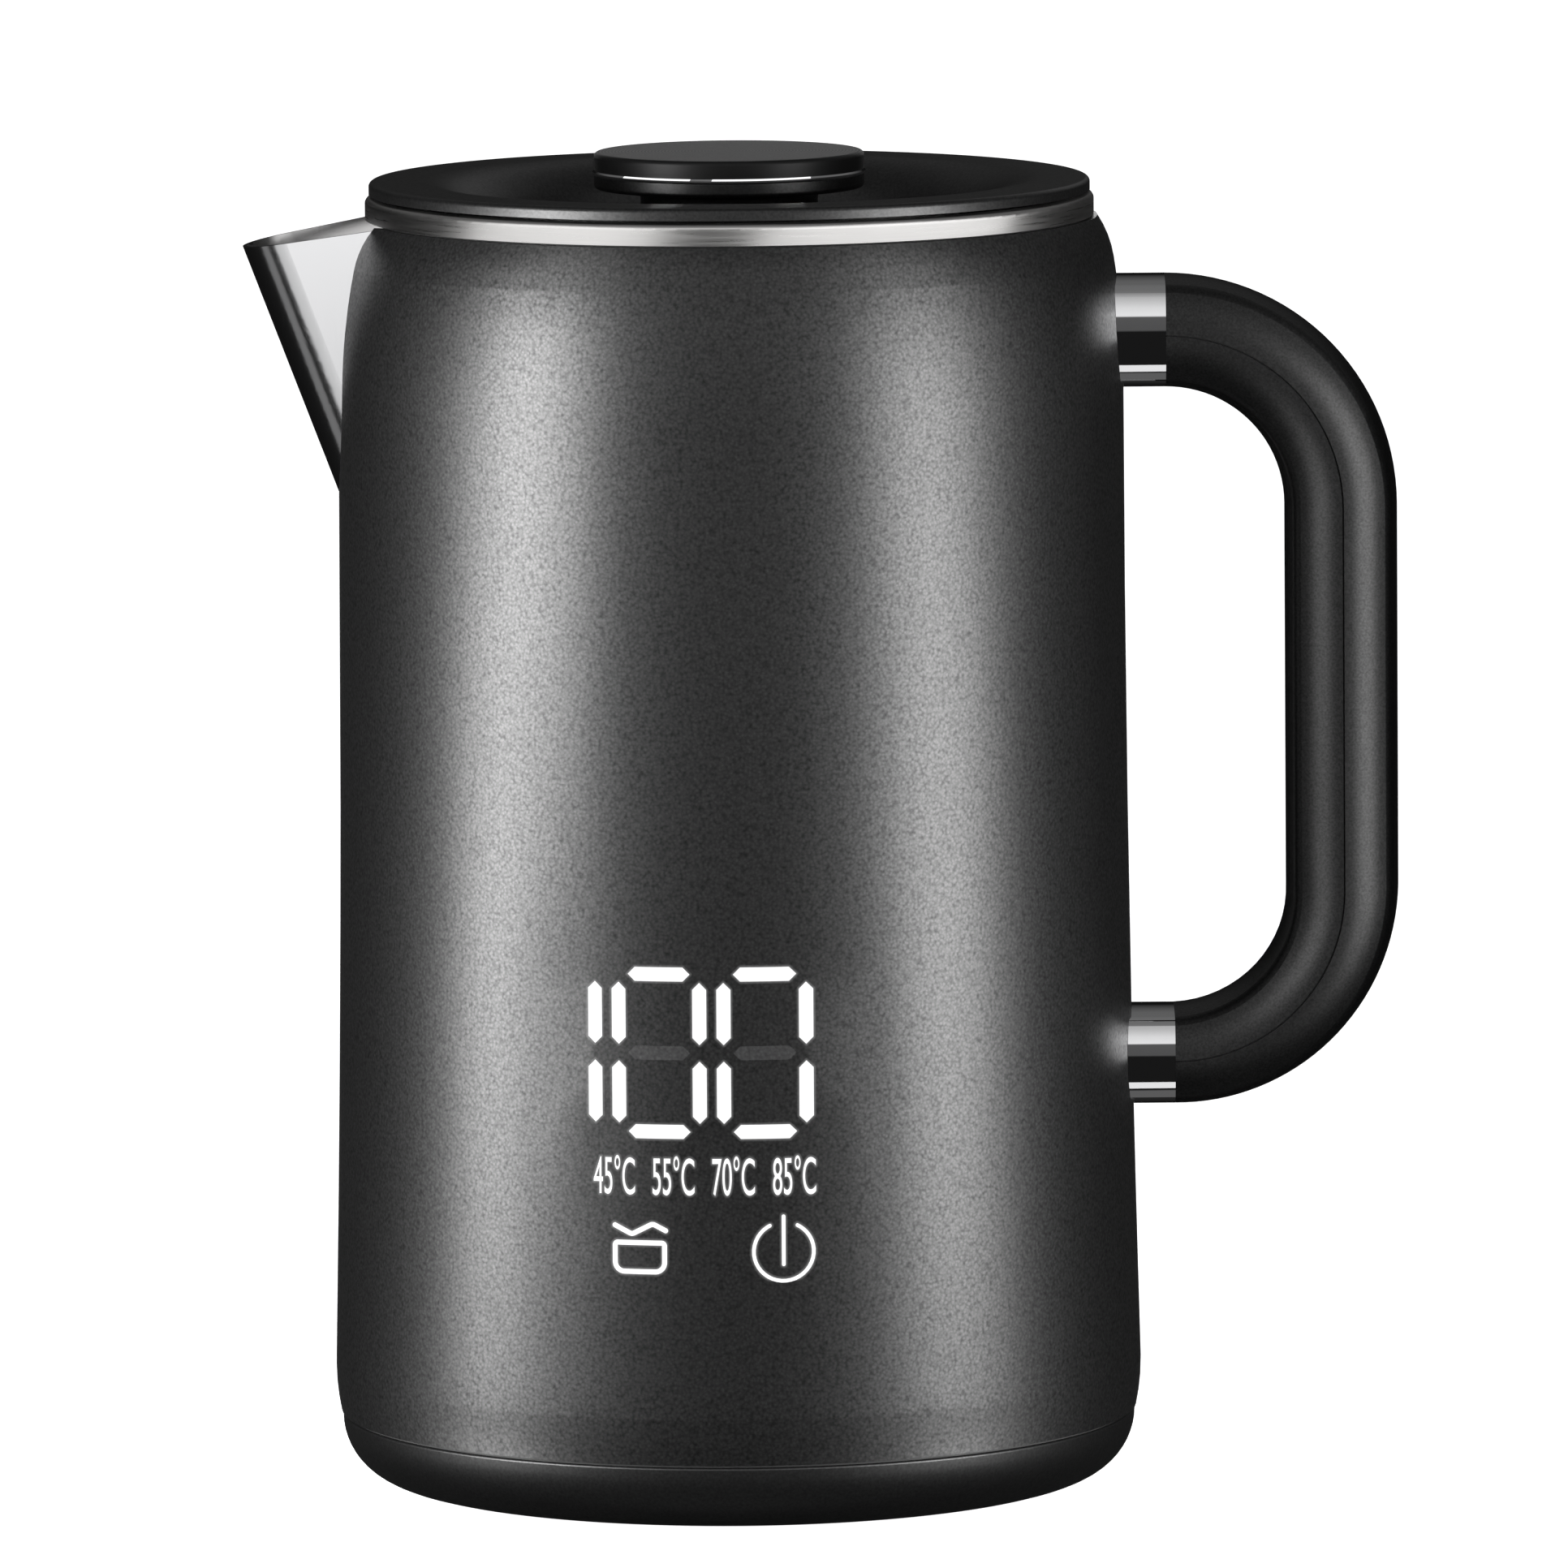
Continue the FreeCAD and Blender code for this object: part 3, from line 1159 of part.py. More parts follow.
def make_knob_ring():
    """Bright trim ring between the knob's base and its cap."""
    outer = KNOB_R + KNOB_RING_PROUD
    flat = outer - KNOB_RING_EDGE
    return turned_polygon(
        (KNOB_BOSS_R, KNOB_RING_LOW_Z), (flat, KNOB_RING_LOW_Z), (outer, KNOB_RING_LOW_Z + KNOB_RING_EDGE),
        (outer, CAP_LOW_Z - KNOB_RING_EDGE), (flat, CAP_LOW_Z), (KNOB_BOSS_R, CAP_LOW_Z),
    )


def make_knob_cap():
    """Round cap of the knob with a spigot that snaps into the base."""
    edge = point(KNOB_R - KNOB_EDGE, KNOB_TOP_Z - KNOB_EDGE)
    spigot_z = CAP_LOW_Z - KNOB_SPIGOT_H
    edges = [
        line(point(0, KNOB_TOP_Z), point(edge.x, KNOB_TOP_Z)),
        fillet_arc(edge, KNOB_EDGE, 90, 0),
        line(point(KNOB_R, edge.z), point(KNOB_R, CAP_LOW_Z)),
        line(point(KNOB_R, CAP_LOW_Z), point(KNOB_SPIGOT_R, CAP_LOW_Z)),
        line(point(KNOB_SPIGOT_R, CAP_LOW_Z), point(KNOB_SPIGOT_R, spigot_z)),
        line(point(KNOB_SPIGOT_R, spigot_z), point(0, spigot_z)),
        line(point(0, spigot_z), point(0, KNOB_TOP_Z)),
    ]
    return turned(edges)


def make_knob_screw():
    """Screw from under the dish into the knob's neck."""
    form = screw(KNOB_SCREW_R, KNOB_SCREW_HEAD_R, KNOB_SCREW_HEAD_H, LID_T + KNOB_SCREW_BITE)
    return form.translated(V(0, 0, DISH_LOW_Z))


def lid_parts():
    """Every piece that lifts off with the lid."""
    return {
        "lid_cover": make_lid_cover(),
        "lid_skirt": make_lid_skirt(),
        "lid_liner": make_lid_liner(),
        "lid_seal": make_lid_seal(),
        "lid_screws": make_lid_screws(),
        "knob_base": make_knob_base(),
        "knob_ring": make_knob_ring(),
        "knob_cap": make_knob_cap(),
        "knob_screw": make_knob_screw(),
    }


def vessel_parts():
    """The pot, its heater and the base."""
    return {
        "inner_pot": make_inner_pot(),
        "spout": make_spout(),
        "rim_gasket": make_rim_gasket(),
        "base_cup": make_base_cup(),
        "base_gasket": make_base_gasket(),
        "base_screws": make_base_screws(),
        "pot_bracket": make_pot_bracket(),
        "heater_plate": make_heater_plate(),
        "heater_element": make_heater_element(),
        "element_terminals": make_element_terminals(),
        "dry_boil_cutouts": make_dry_boil_cutouts(),
        "temperature_probe": make_temperature_probe(),
        "probe_gasket": make_probe_gasket(),
        "probe_nut": make_probe_nut(),
        "coupler_body": make_coupler_body(),
        "earth_pin": make_earth_pin(),
        "line_ring": make_contact_ring(LINE_RING_R),
        "neutral_ring": make_contact_ring(NEUTRAL_RING_R),
        "coupler_screws": make_coupler_screws(),
        "control_board": make_control_board(),
        "power_relay": make_power_relay(),
        "board_screws": make_board_screws(),
    }


def shell_parts():
    """The outer shell and the display behind it."""
    lit, dark = make_windows(lit_segments()), make_windows(dark_segments())
    return {
        "outer_shell": make_outer_shell(lit + dark),
        "digit_windows": group(lit),
        "dark_digit_windows": group(dark),
        "display_board": make_display_board(),
        "display_leds": make_display_leds(),
        "touch_pads": make_touch_pads(),
        "light_box": make_light_box(),
    }


def handle_parts():
    """The handle and what fastens it to the shell."""
    return {
        "handle_outer_half": make_handle_half(1),
        "handle_inner_half": make_handle_half(-1),
        "upper_ferrule": make_ferrule(GRIP_T, UPPER_ARM_Z, UPPER_END_X),
        "lower_ferrule": make_ferrule(LOWER_T, LOWER_ARM_Z, LOWER_END_X),
        "upper_anchor": make_anchor(GRIP_T, UPPER_ARM_Z, UPPER_END_X),
        "lower_anchor": make_anchor(LOWER_T, LOWER_ARM_Z, LOWER_END_X),
        "handle_screws": make_handle_screws(),
        "backing_plates": make_backing_plates(),
    }


def main():
    """Build every piece and write one STEP file for each."""
    os.makedirs("parts", exist_ok=True)
    for pieces in (lid_parts(), vessel_parts(), shell_parts(), handle_parts()):
        for name, shape in pieces.items():
            shape.exportStep(f"parts/{name}.step")
            print(name, len(shape.Solids), round(shape.Volume), shape.isValid())


main()
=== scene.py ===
"""Looks of a double-wall electric kettle: finishes, lit marks and their glow, studio light and camera."""
import logging
import math
from dataclasses import dataclass
from enum import Enum
from functools import cached_property
from typing import Any, Optional, Union

import bpy
from mathutils import Matrix, Vector
from mathutils.bvhtree import BVHTree


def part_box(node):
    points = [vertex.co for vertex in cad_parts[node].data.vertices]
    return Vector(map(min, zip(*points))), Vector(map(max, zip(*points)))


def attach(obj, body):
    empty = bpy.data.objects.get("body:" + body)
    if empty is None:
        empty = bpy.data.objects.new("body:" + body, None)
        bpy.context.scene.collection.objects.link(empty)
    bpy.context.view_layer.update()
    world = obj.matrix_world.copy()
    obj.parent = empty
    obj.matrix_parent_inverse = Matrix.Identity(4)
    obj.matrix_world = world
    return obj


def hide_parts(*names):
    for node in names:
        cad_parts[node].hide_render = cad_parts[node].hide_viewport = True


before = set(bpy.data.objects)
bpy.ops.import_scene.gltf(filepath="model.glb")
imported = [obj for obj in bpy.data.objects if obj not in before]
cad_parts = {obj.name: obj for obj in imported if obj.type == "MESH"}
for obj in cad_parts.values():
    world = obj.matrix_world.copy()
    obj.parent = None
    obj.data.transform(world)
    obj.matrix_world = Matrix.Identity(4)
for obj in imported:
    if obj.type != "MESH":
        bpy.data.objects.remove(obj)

Number = Union["Wire", float]
Colour = tuple[float, float, float]
SocketValue = Union["Wire", float, tuple]
Stops = tuple[tuple[float, float], ...]

LOG = logging.getLogger("kettle")
MM = 0.001
UP = Vector((0.0, 0.0, 1.0))
WHITE: Colour = (1.0, 1.0, 1.0)
EVEN: Colour = (1.0, 1.0, 1.0)
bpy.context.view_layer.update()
PHOTO_SIDE_PX = 1932.0
METALS = ("inner_pot", "spout", "upper_ferrule", "lower_ferrule", "lid_liner")
LID_COATS = ("lid_cover", "knob_base", "knob_cap")
GRIP = ("handle_outer_half", "handle_inner_half")
# Lower and upper end of the shell, and where its arcs meet near them, in millimetres.
SHELL_LOW, SHELL_TOP = (corner.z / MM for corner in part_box("outer_shell"))
HIP_HEIGHT = SHELL_LOW + 8.4
SHOULDER_HEIGHT = SHELL_TOP - 7.8
# The object that shows each node: the node's own, or the piece that replaces it.
SHOWN: dict[str, bpy.types.Object] = dict(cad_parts)


class Body(Enum):
    """The two bodies of the kettle."""

    KETTLE = "kettle"
    LID = "lid"


class Falls(Enum):
    """Nodes that a light falls on, and on no others, or that it leaves out."""

    ON_COATS = (METALS + GRIP, "EXCLUDE")
    ON_SHELL = (("outer_shell",), "INCLUDE")
    ON_GRIP = (GRIP, "INCLUDE")
    ON_METALS = (METALS, "INCLUDE")
    ON_LID = (LID_COATS, "INCLUDE")
    ON_KNOB_CAP = (("knob_cap",), "INCLUDE")
    ON_KNOB_RING = (("knob_ring",), "INCLUDE")


class Stand(Enum):
    """How a soft box is set up: facing the kettle, or facing up or down."""

    UPRIGHT = 0.0
    FACE_UP = 1.0
    FACE_DOWN = -1.0


class Wire:
    """An output socket that takes part in arithmetic."""

    MIDDLE = 0.5

    def __init__(self, sheet: "Sheet", socket: bpy.types.NodeSocket) -> None:
        """Hold a socket and the sheet that it is drawn on."""
        self.sheet = sheet
        self.socket = socket

    def _math(self, operation: str, first: Number, second: Number = 0.0) -> "Wire":
        """Join two numbers with a Math node."""
        return self.sheet.add("ShaderNodeMath", {"operation": operation}, {0: first, 1: second})

    def __add__(self, other: Number) -> "Wire":
        """Add a number."""
        return self._math("ADD", self, other)

    def __radd__(self, other: Number) -> "Wire":
        """Add to a number."""
        return self._math("ADD", other, self)

    def __sub__(self, other: Number) -> "Wire":
        """Take a number off."""
        return self._math("SUBTRACT", self, other)

    def __rsub__(self, other: Number) -> "Wire":
        """Take off a number."""
        return self._math("SUBTRACT", other, self)

    def __mul__(self, other: Number) -> "Wire":
        """Multiply by a number."""
        return self._math("MULTIPLY", self, other)

    def __rmul__(self, other: Number) -> "Wire":
        """Multiply a number."""
        return self._math("MULTIPLY", other, self)

    def __pow__(self, other: Number) -> "Wire":
        """Raise to a power."""
        return self._math("POWER", self, other)

    def over(self, limit: Number) -> "Wire":
        """Give one where the value is over a limit, and zero elsewhere."""
        return self._math("GREATER_THAN", self, limit)

    def size(self) -> "Wire":
        """Give the value without its sign."""
        return self._math("ABSOLUTE", self)

    def sine(self) -> "Wire":
        """Give the sine of the value."""
        return self._math("SINE", self)

    def swing(self, width: float) -> "Wire":
        """Give how far the value is from one half, times a width."""
        return (self - self.MIDDLE) * width


@dataclass(frozen=True)
class Bend:
    """A height where a piece's shading leans up or down, so that two rounds run softly into each other.

    Its height and reach are in millimetres, and its lean is the tangent of the angle.
    """

    height: float
    reach: float
    lean: float


class Sheet:
    """The node tree of a material or of the surroundings, drawn node by node."""

    FLAT = (1.0, 1.0, 0.0)
    # Numbers of the sockets that a Mix node has for colours.
    MIX_SHARE, MIX_LOW, MIX_HIGH = 0, 6, 7
    MIX_RESULT = 2
    PEBBLE_SOFTNESS = 0.6

    def __init__(self, tree: bpy.types.NodeTree) -> None:
        """Start with an empty tree."""
        self.tree = tree
        self.tree.nodes.clear()

    def add(
        self,
        kind: str,
        settings: Optional[dict[str, Any]] = None,
        sockets: Optional[dict[Union[int, str], SocketValue]] = None,
        output: Union[int, str] = 0,
    ) -> Wire:
        """Add a node, with its settings made before its sockets are filled.

        Args:
            kind: Blender's name of the node type.
            settings: Properties of the node, and a ramp's stops.
            sockets: Wires and constants for its inputs, by name or number.
            output: The output that the wire starts from.

        Returns:
            A wire from that output.
        """
        node = self.tree.nodes.new(kind)
        for name, value in (settings or {}).items():
            if name == "stops":
                self._set_stops(node.color_ramp, value)
            else:
                setattr(node, name, value)
        for name, value in (sockets or {}).items():
            if isinstance(value, Wire):
                self.tree.links.new(value.socket, node.inputs[name])
            else:
                node.inputs[name].default_value = value
        outputs = node.outputs
        return Wire(self, outputs[output] if len(outputs) else None)

    @staticmethod
    def _set_stops(ramp: bpy.types.ColorRamp, stops: Stops) -> None:
        """Set the stops of a grey ramp.

        Args:
            ramp: A ramp that has Blender's own two stops.
            stops: Places from zero to one, in rising order, and their tones.
        """
        for number, (place, tone) in enumerate(stops):
            old = number < len(ramp.elements)
            stop = ramp.elements[number] if old else ramp.elements.new(place)
            stop.position = place
            stop.color = (tone, tone, tone, 1.0)

    def vector(self, operation: str, *vectors: SocketValue, output: Union[int, str] = 0) -> Wire:
        """Join vectors with a Vector Math node."""
        return self.add("ShaderNodeVectorMath", {"operation": operation}, dict(enumerate(vectors)), output)

    def place(self, stretch: Colour = EVEN) -> Wire:
        """Give the place on the piece in millimetres.

        Args:
            stretch: How many times longer a millimetre becomes along each axis.

        Returns:
            A wire of the place.
        """
        spot = self.add("ShaderNodeTexCoord", output="Object")
        scale = tuple(1.0 / (MM * share) for share in stretch)
        return self.add("ShaderNodeMapping", {}, {"Vector": spot, "Scale": scale})

    def noise(self, size: float, detail: float = 2.0, stretch: Colour = EVEN) -> Wire:
        """Draw soft noise.

        Args:
            size: Width of a blotch in millimetres.
            detail: Octaves of finer noise.
            stretch: How many times longer a blotch is along each axis.

        Returns:
            A wire around one half.
        """
        sockets = {"Vector": self.place(stretch), "Scale": 1.0 / size, "Detail": detail}
        return self.add("ShaderNodeTexNoise", {}, sockets, "Fac")

    def pebbles(self, size: float) -> Wire:
        """Draw rounded cells that are low at their middles.

        Args:
            size: Width of a cell in millimetres.

        Returns:
            A wire from zero at a cell's middle to about one.
        """
        settings = {"feature": "SMOOTH_F1"}
        sockets = {"Vector": self.place(), "Scale": 1.0 / size, "Smoothness": self.PEBBLE_SOFTNESS}
        return self.add("ShaderNodeTexVoronoi", settings, sockets, "Distance")

    def reach(self) -> Wire:
        """Give the distance from the body's axis in millimetres."""
        return self.vector("LENGTH", self.vector("MULTIPLY", self.place(), self.FLAT), output="Value")

    def blend(self, share: Number, low: Union[Wire, Colour], high: Union[Wire, Colour]) -> Wire:
        """Mix two colours.

        Args:
            share: Zero for the first colour and one for the second.
            low: The first colour.
            high: The second colour.

        Returns:
            A wire of the mixed colour.
        """
        ends = [end if isinstance(end, Wire) else (*end, 1.0) for end in (low, high)]
        sockets = {self.MIX_SHARE: share, self.MIX_LOW: ends[0], self.MIX_HIGH: ends[1]}
        return self.add("ShaderNodeMix", {"data_type": "RGBA"}, sockets, self.MIX_RESULT)

    def mottled(self, pattern: Wire, colour: Colour, mottle: float) -> Wire:
        """Draw a colour that a pattern makes darker and lighter by a share of it."""
        return self.blend(pattern, toned(colour, 1.0 - mottle), toned(colour, 1.0 + mottle))

    def leaning(self, bends: tuple[Bend, ...]) -> Wire:
        """Give the surface's own normal, leaning near some heights.

        Args:
            bends: The heights and how far the normal leans there.

        Returns:
            A wire of the normal.
        """
        rise = self.add("ShaderNodeSeparateXYZ", {}, {0: self.place()}, "Z")
        lean: Number = 0.0
        for bend in bends:
            gap = (rise - bend.height).size()
            sockets = {"Value": gap, "From Max": bend.reach, "To Min": 1.0, "To Max": 0.0}
            near = self.add("ShaderNodeMapRange", {}, sockets)
            lean = lean + near * near * bend.lean
        upward = self.add("ShaderNodeCombineXYZ", {}, {"Z": lean})
        normal = self.add("ShaderNodeNewGeometry", output="Normal")
        return self.vector("NORMALIZE", self.vector("ADD", normal, upward))

    def bump(self, height: Wire, depth: float, normal: Optional[Wire] = None) -> Wire:
        """Turn a height around one half into a bumpy normal.

        Args:
            height: The height.
            depth: Millimetres from height zero to height one.
            normal: The normal without the bumps, where it isn't the surface's own.

        Returns:
            A wire of the normal.
        """
        sockets = {"Strength": 1.0, "Distance": depth * MM, "Height": height}
        if normal:
            sockets["Normal"] = normal
        return self.add("ShaderNodeBump", {}, sockets, "Normal")

    def surface(self, sockets: dict[str, SocketValue]) -> None:
        """Finish the tree with a surface shader that takes these sockets."""
        shader = self.add("ShaderNodeBsdfPrincipled", {}, sockets)
        self.add("ShaderNodeOutputMaterial", {}, {"Surface": shader})


def toned(colour: Colour, share: float) -> Colour:
    """Give a colour that is darker or lighter by a share."""
    return tuple(part * share for part in colour)


@dataclass(frozen=True)
class Finish:
    """A surface finish that draws its own material. Its sizes are in millimetres."""

    name: str

    @cached_property
    def material(self) -> bpy.types.Material:
        """Draw the finish's material on first use.

        Returns:
            The material.
        """
        made = bpy.data.materials.new(self.name)
        made.use_nodes = True
        self.draw(Sheet(made.node_tree))
        return made

    def draw(self, sheet: Sheet) -> None:
        """Draw the finish on an empty sheet."""
        raise NotImplementedError


@dataclass(frozen=True)
class Moulding(Finish):
    """A moulded or coated surface of plastic, a little uneven in its gloss."""

    colour: Colour
    roughness: float
    unevenness: float = 0.06
    specular: float = 0.25


@dataclass(frozen=True)
class GrainedMoulding(Moulding):
    """Moulded plastic with a fine even grain and broad dull patches."""

    grain: float = 0.5
    depth: float = 0.006
    mottle: float = 0.2
    coat: float = 0.5
    sparkle: float = 1.0
    gloss: float = 1.0
    patch: float = 40.0

    def draw(self, sheet: Sheet) -> None:
        """Draw a mottled colour, uneven gloss and a grained surface.

        Args:
            sheet: The empty sheet.
        """
        fine = sheet.noise(self.grain)
        broad = sheet.noise(self.grain * self.patch)
        sheet.surface({
            "Base Color": sheet.mottled(fine, self.colour, self.mottle),
            "Roughness": self.roughness + fine.swing(self.unevenness) + broad.swing(self.unevenness),
            "Specular IOR Level": self.specular * self.gloss,
            "Coat Weight": self.coat * self.gloss + fine.swing(self.sparkle),
            "Coat Roughness": self.roughness,
            "Normal": sheet.bump(fine, self.depth),
        })


@dataclass(frozen=True)
class PebbledCoat(Moulding):
    """Matte coat with a pebbled texture over a fine grain."""

    pebble: float = 0.6
    depth: float = 0.01
    mottle: float = 0.28
    coat: float = 0.5
    sparkle: float = 1.6
    grain_share: float = 0.7
    pebble_share: float = 0.5
    pebble_top: float = 0.8
    bends: tuple[Bend, ...] = ()

    def draw(self, sheet: Sheet) -> None:
        """Draw low pebbles, darker and duller in the dips between them.

        Args:
            sheet: The empty sheet.
        """
        stones = sheet.pebbles(self.pebble)
        grain = sheet.noise(self.pebble)
        height = grain * self.grain_share + (self.pebble_top - stones) * self.pebble_share
        sheet.surface({
            "Base Color": sheet.mottled(grain, self.colour, self.mottle),
            "Roughness": self.roughness + grain.swing(self.unevenness),
            "Specular IOR Level": self.specular,
            "Coat Weight": self.coat + height.swing(self.sparkle),
            "Coat Roughness": self.roughness,
            "Normal": sheet.bump(height, self.depth, sheet.leaning(self.bends)),
        })


@dataclass(frozen=True)
class TurnedMoulding(Moulding):
    """Satin moulding from a turned mould, with faint rings about the body's axis."""

    ring: float = 0.6
    ring_share: float = 0.6
    ring_unevenness: float = 0.08
    grain: float = 0.5
    depth: float = 0.01
    mottle: float = 0.15

    def draw(self, sheet: Sheet) -> None:
        """Draw fine rings that are broken by grain.

        Args:
            sheet: The empty sheet.
        """
        grain = sheet.noise(self.grain)
        rings = (sheet.reach() * (math.tau / self.ring)).sine() * 0.5 + 0.5
        height = rings * self.ring_share + grain * (1.0 - self.ring_share)
        sheet.surface({
            "Base Color": sheet.mottled(grain, self.colour, self.mottle),
            "Roughness": self.roughness + rings.swing(self.ring_unevenness) + grain.swing(self.unevenness),
            "Specular IOR Level": self.specular,
            "Normal": sheet.bump(height, self.depth),
        })


@dataclass(frozen=True)
class StreakedMetal(Finish):
    """Metal with fine streaks, which may be drawn along some axes, and a broad haze."""

    colour: Colour
    roughness: float
    streak: float
    stretch: Colour = EVEN
    spread: float = 0.12
    depth: float = 0.002
    haze: float = 18.0
    haze_unevenness: float = 0.04
    detail: float = 3.0

    def draw(self, sheet: Sheet) -> None:
        """Draw streaks in the tone, the polish and the surface.

        Args:
            sheet: The empty sheet.
        """
        streaks = sheet.noise(self.streak, self.detail, self.stretch)
        haze = sheet.noise(self.haze, self.detail)
        sheet.surface({
            "Base Color": sheet.blend(streaks, toned(self.colour, 1.0 - self.spread), self.colour),
            "Metallic": 1.0,
            "Roughness": self.roughness + streaks.swing(self.spread) + haze.swing(self.haze_unevenness),
            "Normal": sheet.bump(streaks, self.depth),
        })


@dataclass(frozen=True)
class SoftRubber(Finish):
    """Silicone rubber with a dusty bloom."""

    colour: Colour
    clarity: float = 0.0
    dust: float = 1.4
    detail: float = 4.0
    bloom: float = 1.35
    least_bloom: float = 0.01
    roughness: float = 0.5
    dullness: float = 0.25
    depth: float = 0.01

    def draw(self, sheet: Sheet) -> None:
        """Draw a dull skin with faint dust.

        Args:
            sheet: The empty sheet.
        """
        dust = sheet.noise(self.dust, self.detail)
        dusty = tuple(min(1.0, part + self.least_bloom) for part in toned(self.colour, self.bloom))
        sheet.surface({
            "Base Color": sheet.blend(dust, self.colour, dusty),
            "Roughness": self.roughness + dust * self.dullness,
            "Transmission Weight": self.clarity,
            "Normal": sheet.bump(dust, self.depth),
        })


@dataclass(frozen=True)
class Laminate(Finish):
    """Board laminate with lighter tracks under the lacquer."""

    board: Colour
    track: Colour
    pitch: float
    field_pitches: float = 5.0
    contours: float = 9.0
    track_level: float = 0.35
    track_share: float = 0.8
    weave: float = 0.3
    roughness: float = 0.3
    dullness: float = 0.15
    depth: float = 0.03

    def draw(self, sheet: Sheet) -> None:
        """Draw tracks that follow the contours of a broad noise.

        Args:
            sheet: The empty sheet.
        """
        field = sheet.noise(self.pitch * self.field_pitches, 0.0)
        tracks = (field * (math.tau * self.contours)).sine().over(self.track_level)
        weave = sheet.noise(self.weave, 1.0)
        height = tracks * self.track_share + weave * (1.0 - self.track_share)
        sheet.surface({
            "Base Color": sheet.blend(tracks, self.board, self.track),
            "Roughness": self.roughness + weave * self.dullness,
            "Normal": sheet.bump(height, self.depth),
        })


@dataclass(frozen=True)
class LitInlay(Finish):
    """Clear inlay lit white from behind, with a slight cloudiness."""

    strength: float
    colour: Colour = (0.1, 0.1, 0.1)
    roughness: float = 0.35
    dullness: float = 0.1
    cloud: float = 3.0
    dimming: float = 0.06

    def draw(self, sheet: Sheet) -> None:
        """Draw an even light that clouds dim a little.

        Args:
            sheet: The empty sheet.
        """
        cloud = sheet.noise(self.cloud, 1.0)
        sheet.surface({
            "Base Color": (*self.colour, 1.0),
            "Roughness": self.roughness + cloud * self.dullness,
            "Emission Color": sheet.blend(cloud, toned(WHITE, 1.0 - self.dimming), WHITE),
            "Emission Strength": self.strength,
        })


@dataclass(frozen=True)
class GlowSkin(Finish):
    """Light that spills from the lit inlays over the coat around them."""

    strength: float
    attribute: str
    dim: Colour = (0.94, 0.94, 0.95)
    grain: float = 0.8
    roughness: float = 0.9
    unevenness: float = 0.1
    thinnest: float = 0.85
    patchiness: float = 0.3

    def draw(self, sheet: Sheet) -> None:
        """Draw a white haze as dense as the skin's own attribute says.

        Args:
            sheet: The empty sheet.
        """
        density = sheet.add("ShaderNodeAttribute", {"attribute_name": self.attribute}, {}, "Fac")
        grain = sheet.noise(self.grain)
        sheet.surface({
            "Base Color": (0.0, 0.0, 0.0, 1.0),
            "Roughness": self.roughness + grain.swing(self.unevenness),
            "Specular IOR Level": 0.0,
            "Alpha": density * (self.thinnest + grain * self.patchiness),
            "Emission Color": sheet.blend(grain, self.dim, WHITE),
            "Emission Strength": self.strength,
        })


@dataclass(frozen=True)
class PalePaper(Finish):
    """Seamless white background paper with a faint tooth, lit evenly."""

    strength: float
    low: Colour = (0.86, 0.86, 0.86)
    high: Colour = (0.9, 0.9, 0.9)
    tooth: float = 2.0
    roughness: float = 0.9
    specular: float = 0.1

    def draw(self, sheet: Sheet) -> None:
        """Draw a white sheet.

        Args:
            sheet: The empty sheet.
        """
        sheet.surface({
            "Base Color": sheet.blend(sheet.noise(self.tooth), self.low, self.high),
            "Roughness": self.roughness,
            "Specular IOR Level": self.specular,
            "Emission Color": (*WHITE, 1.0),
            "Emission Strength": self.strength,
        })


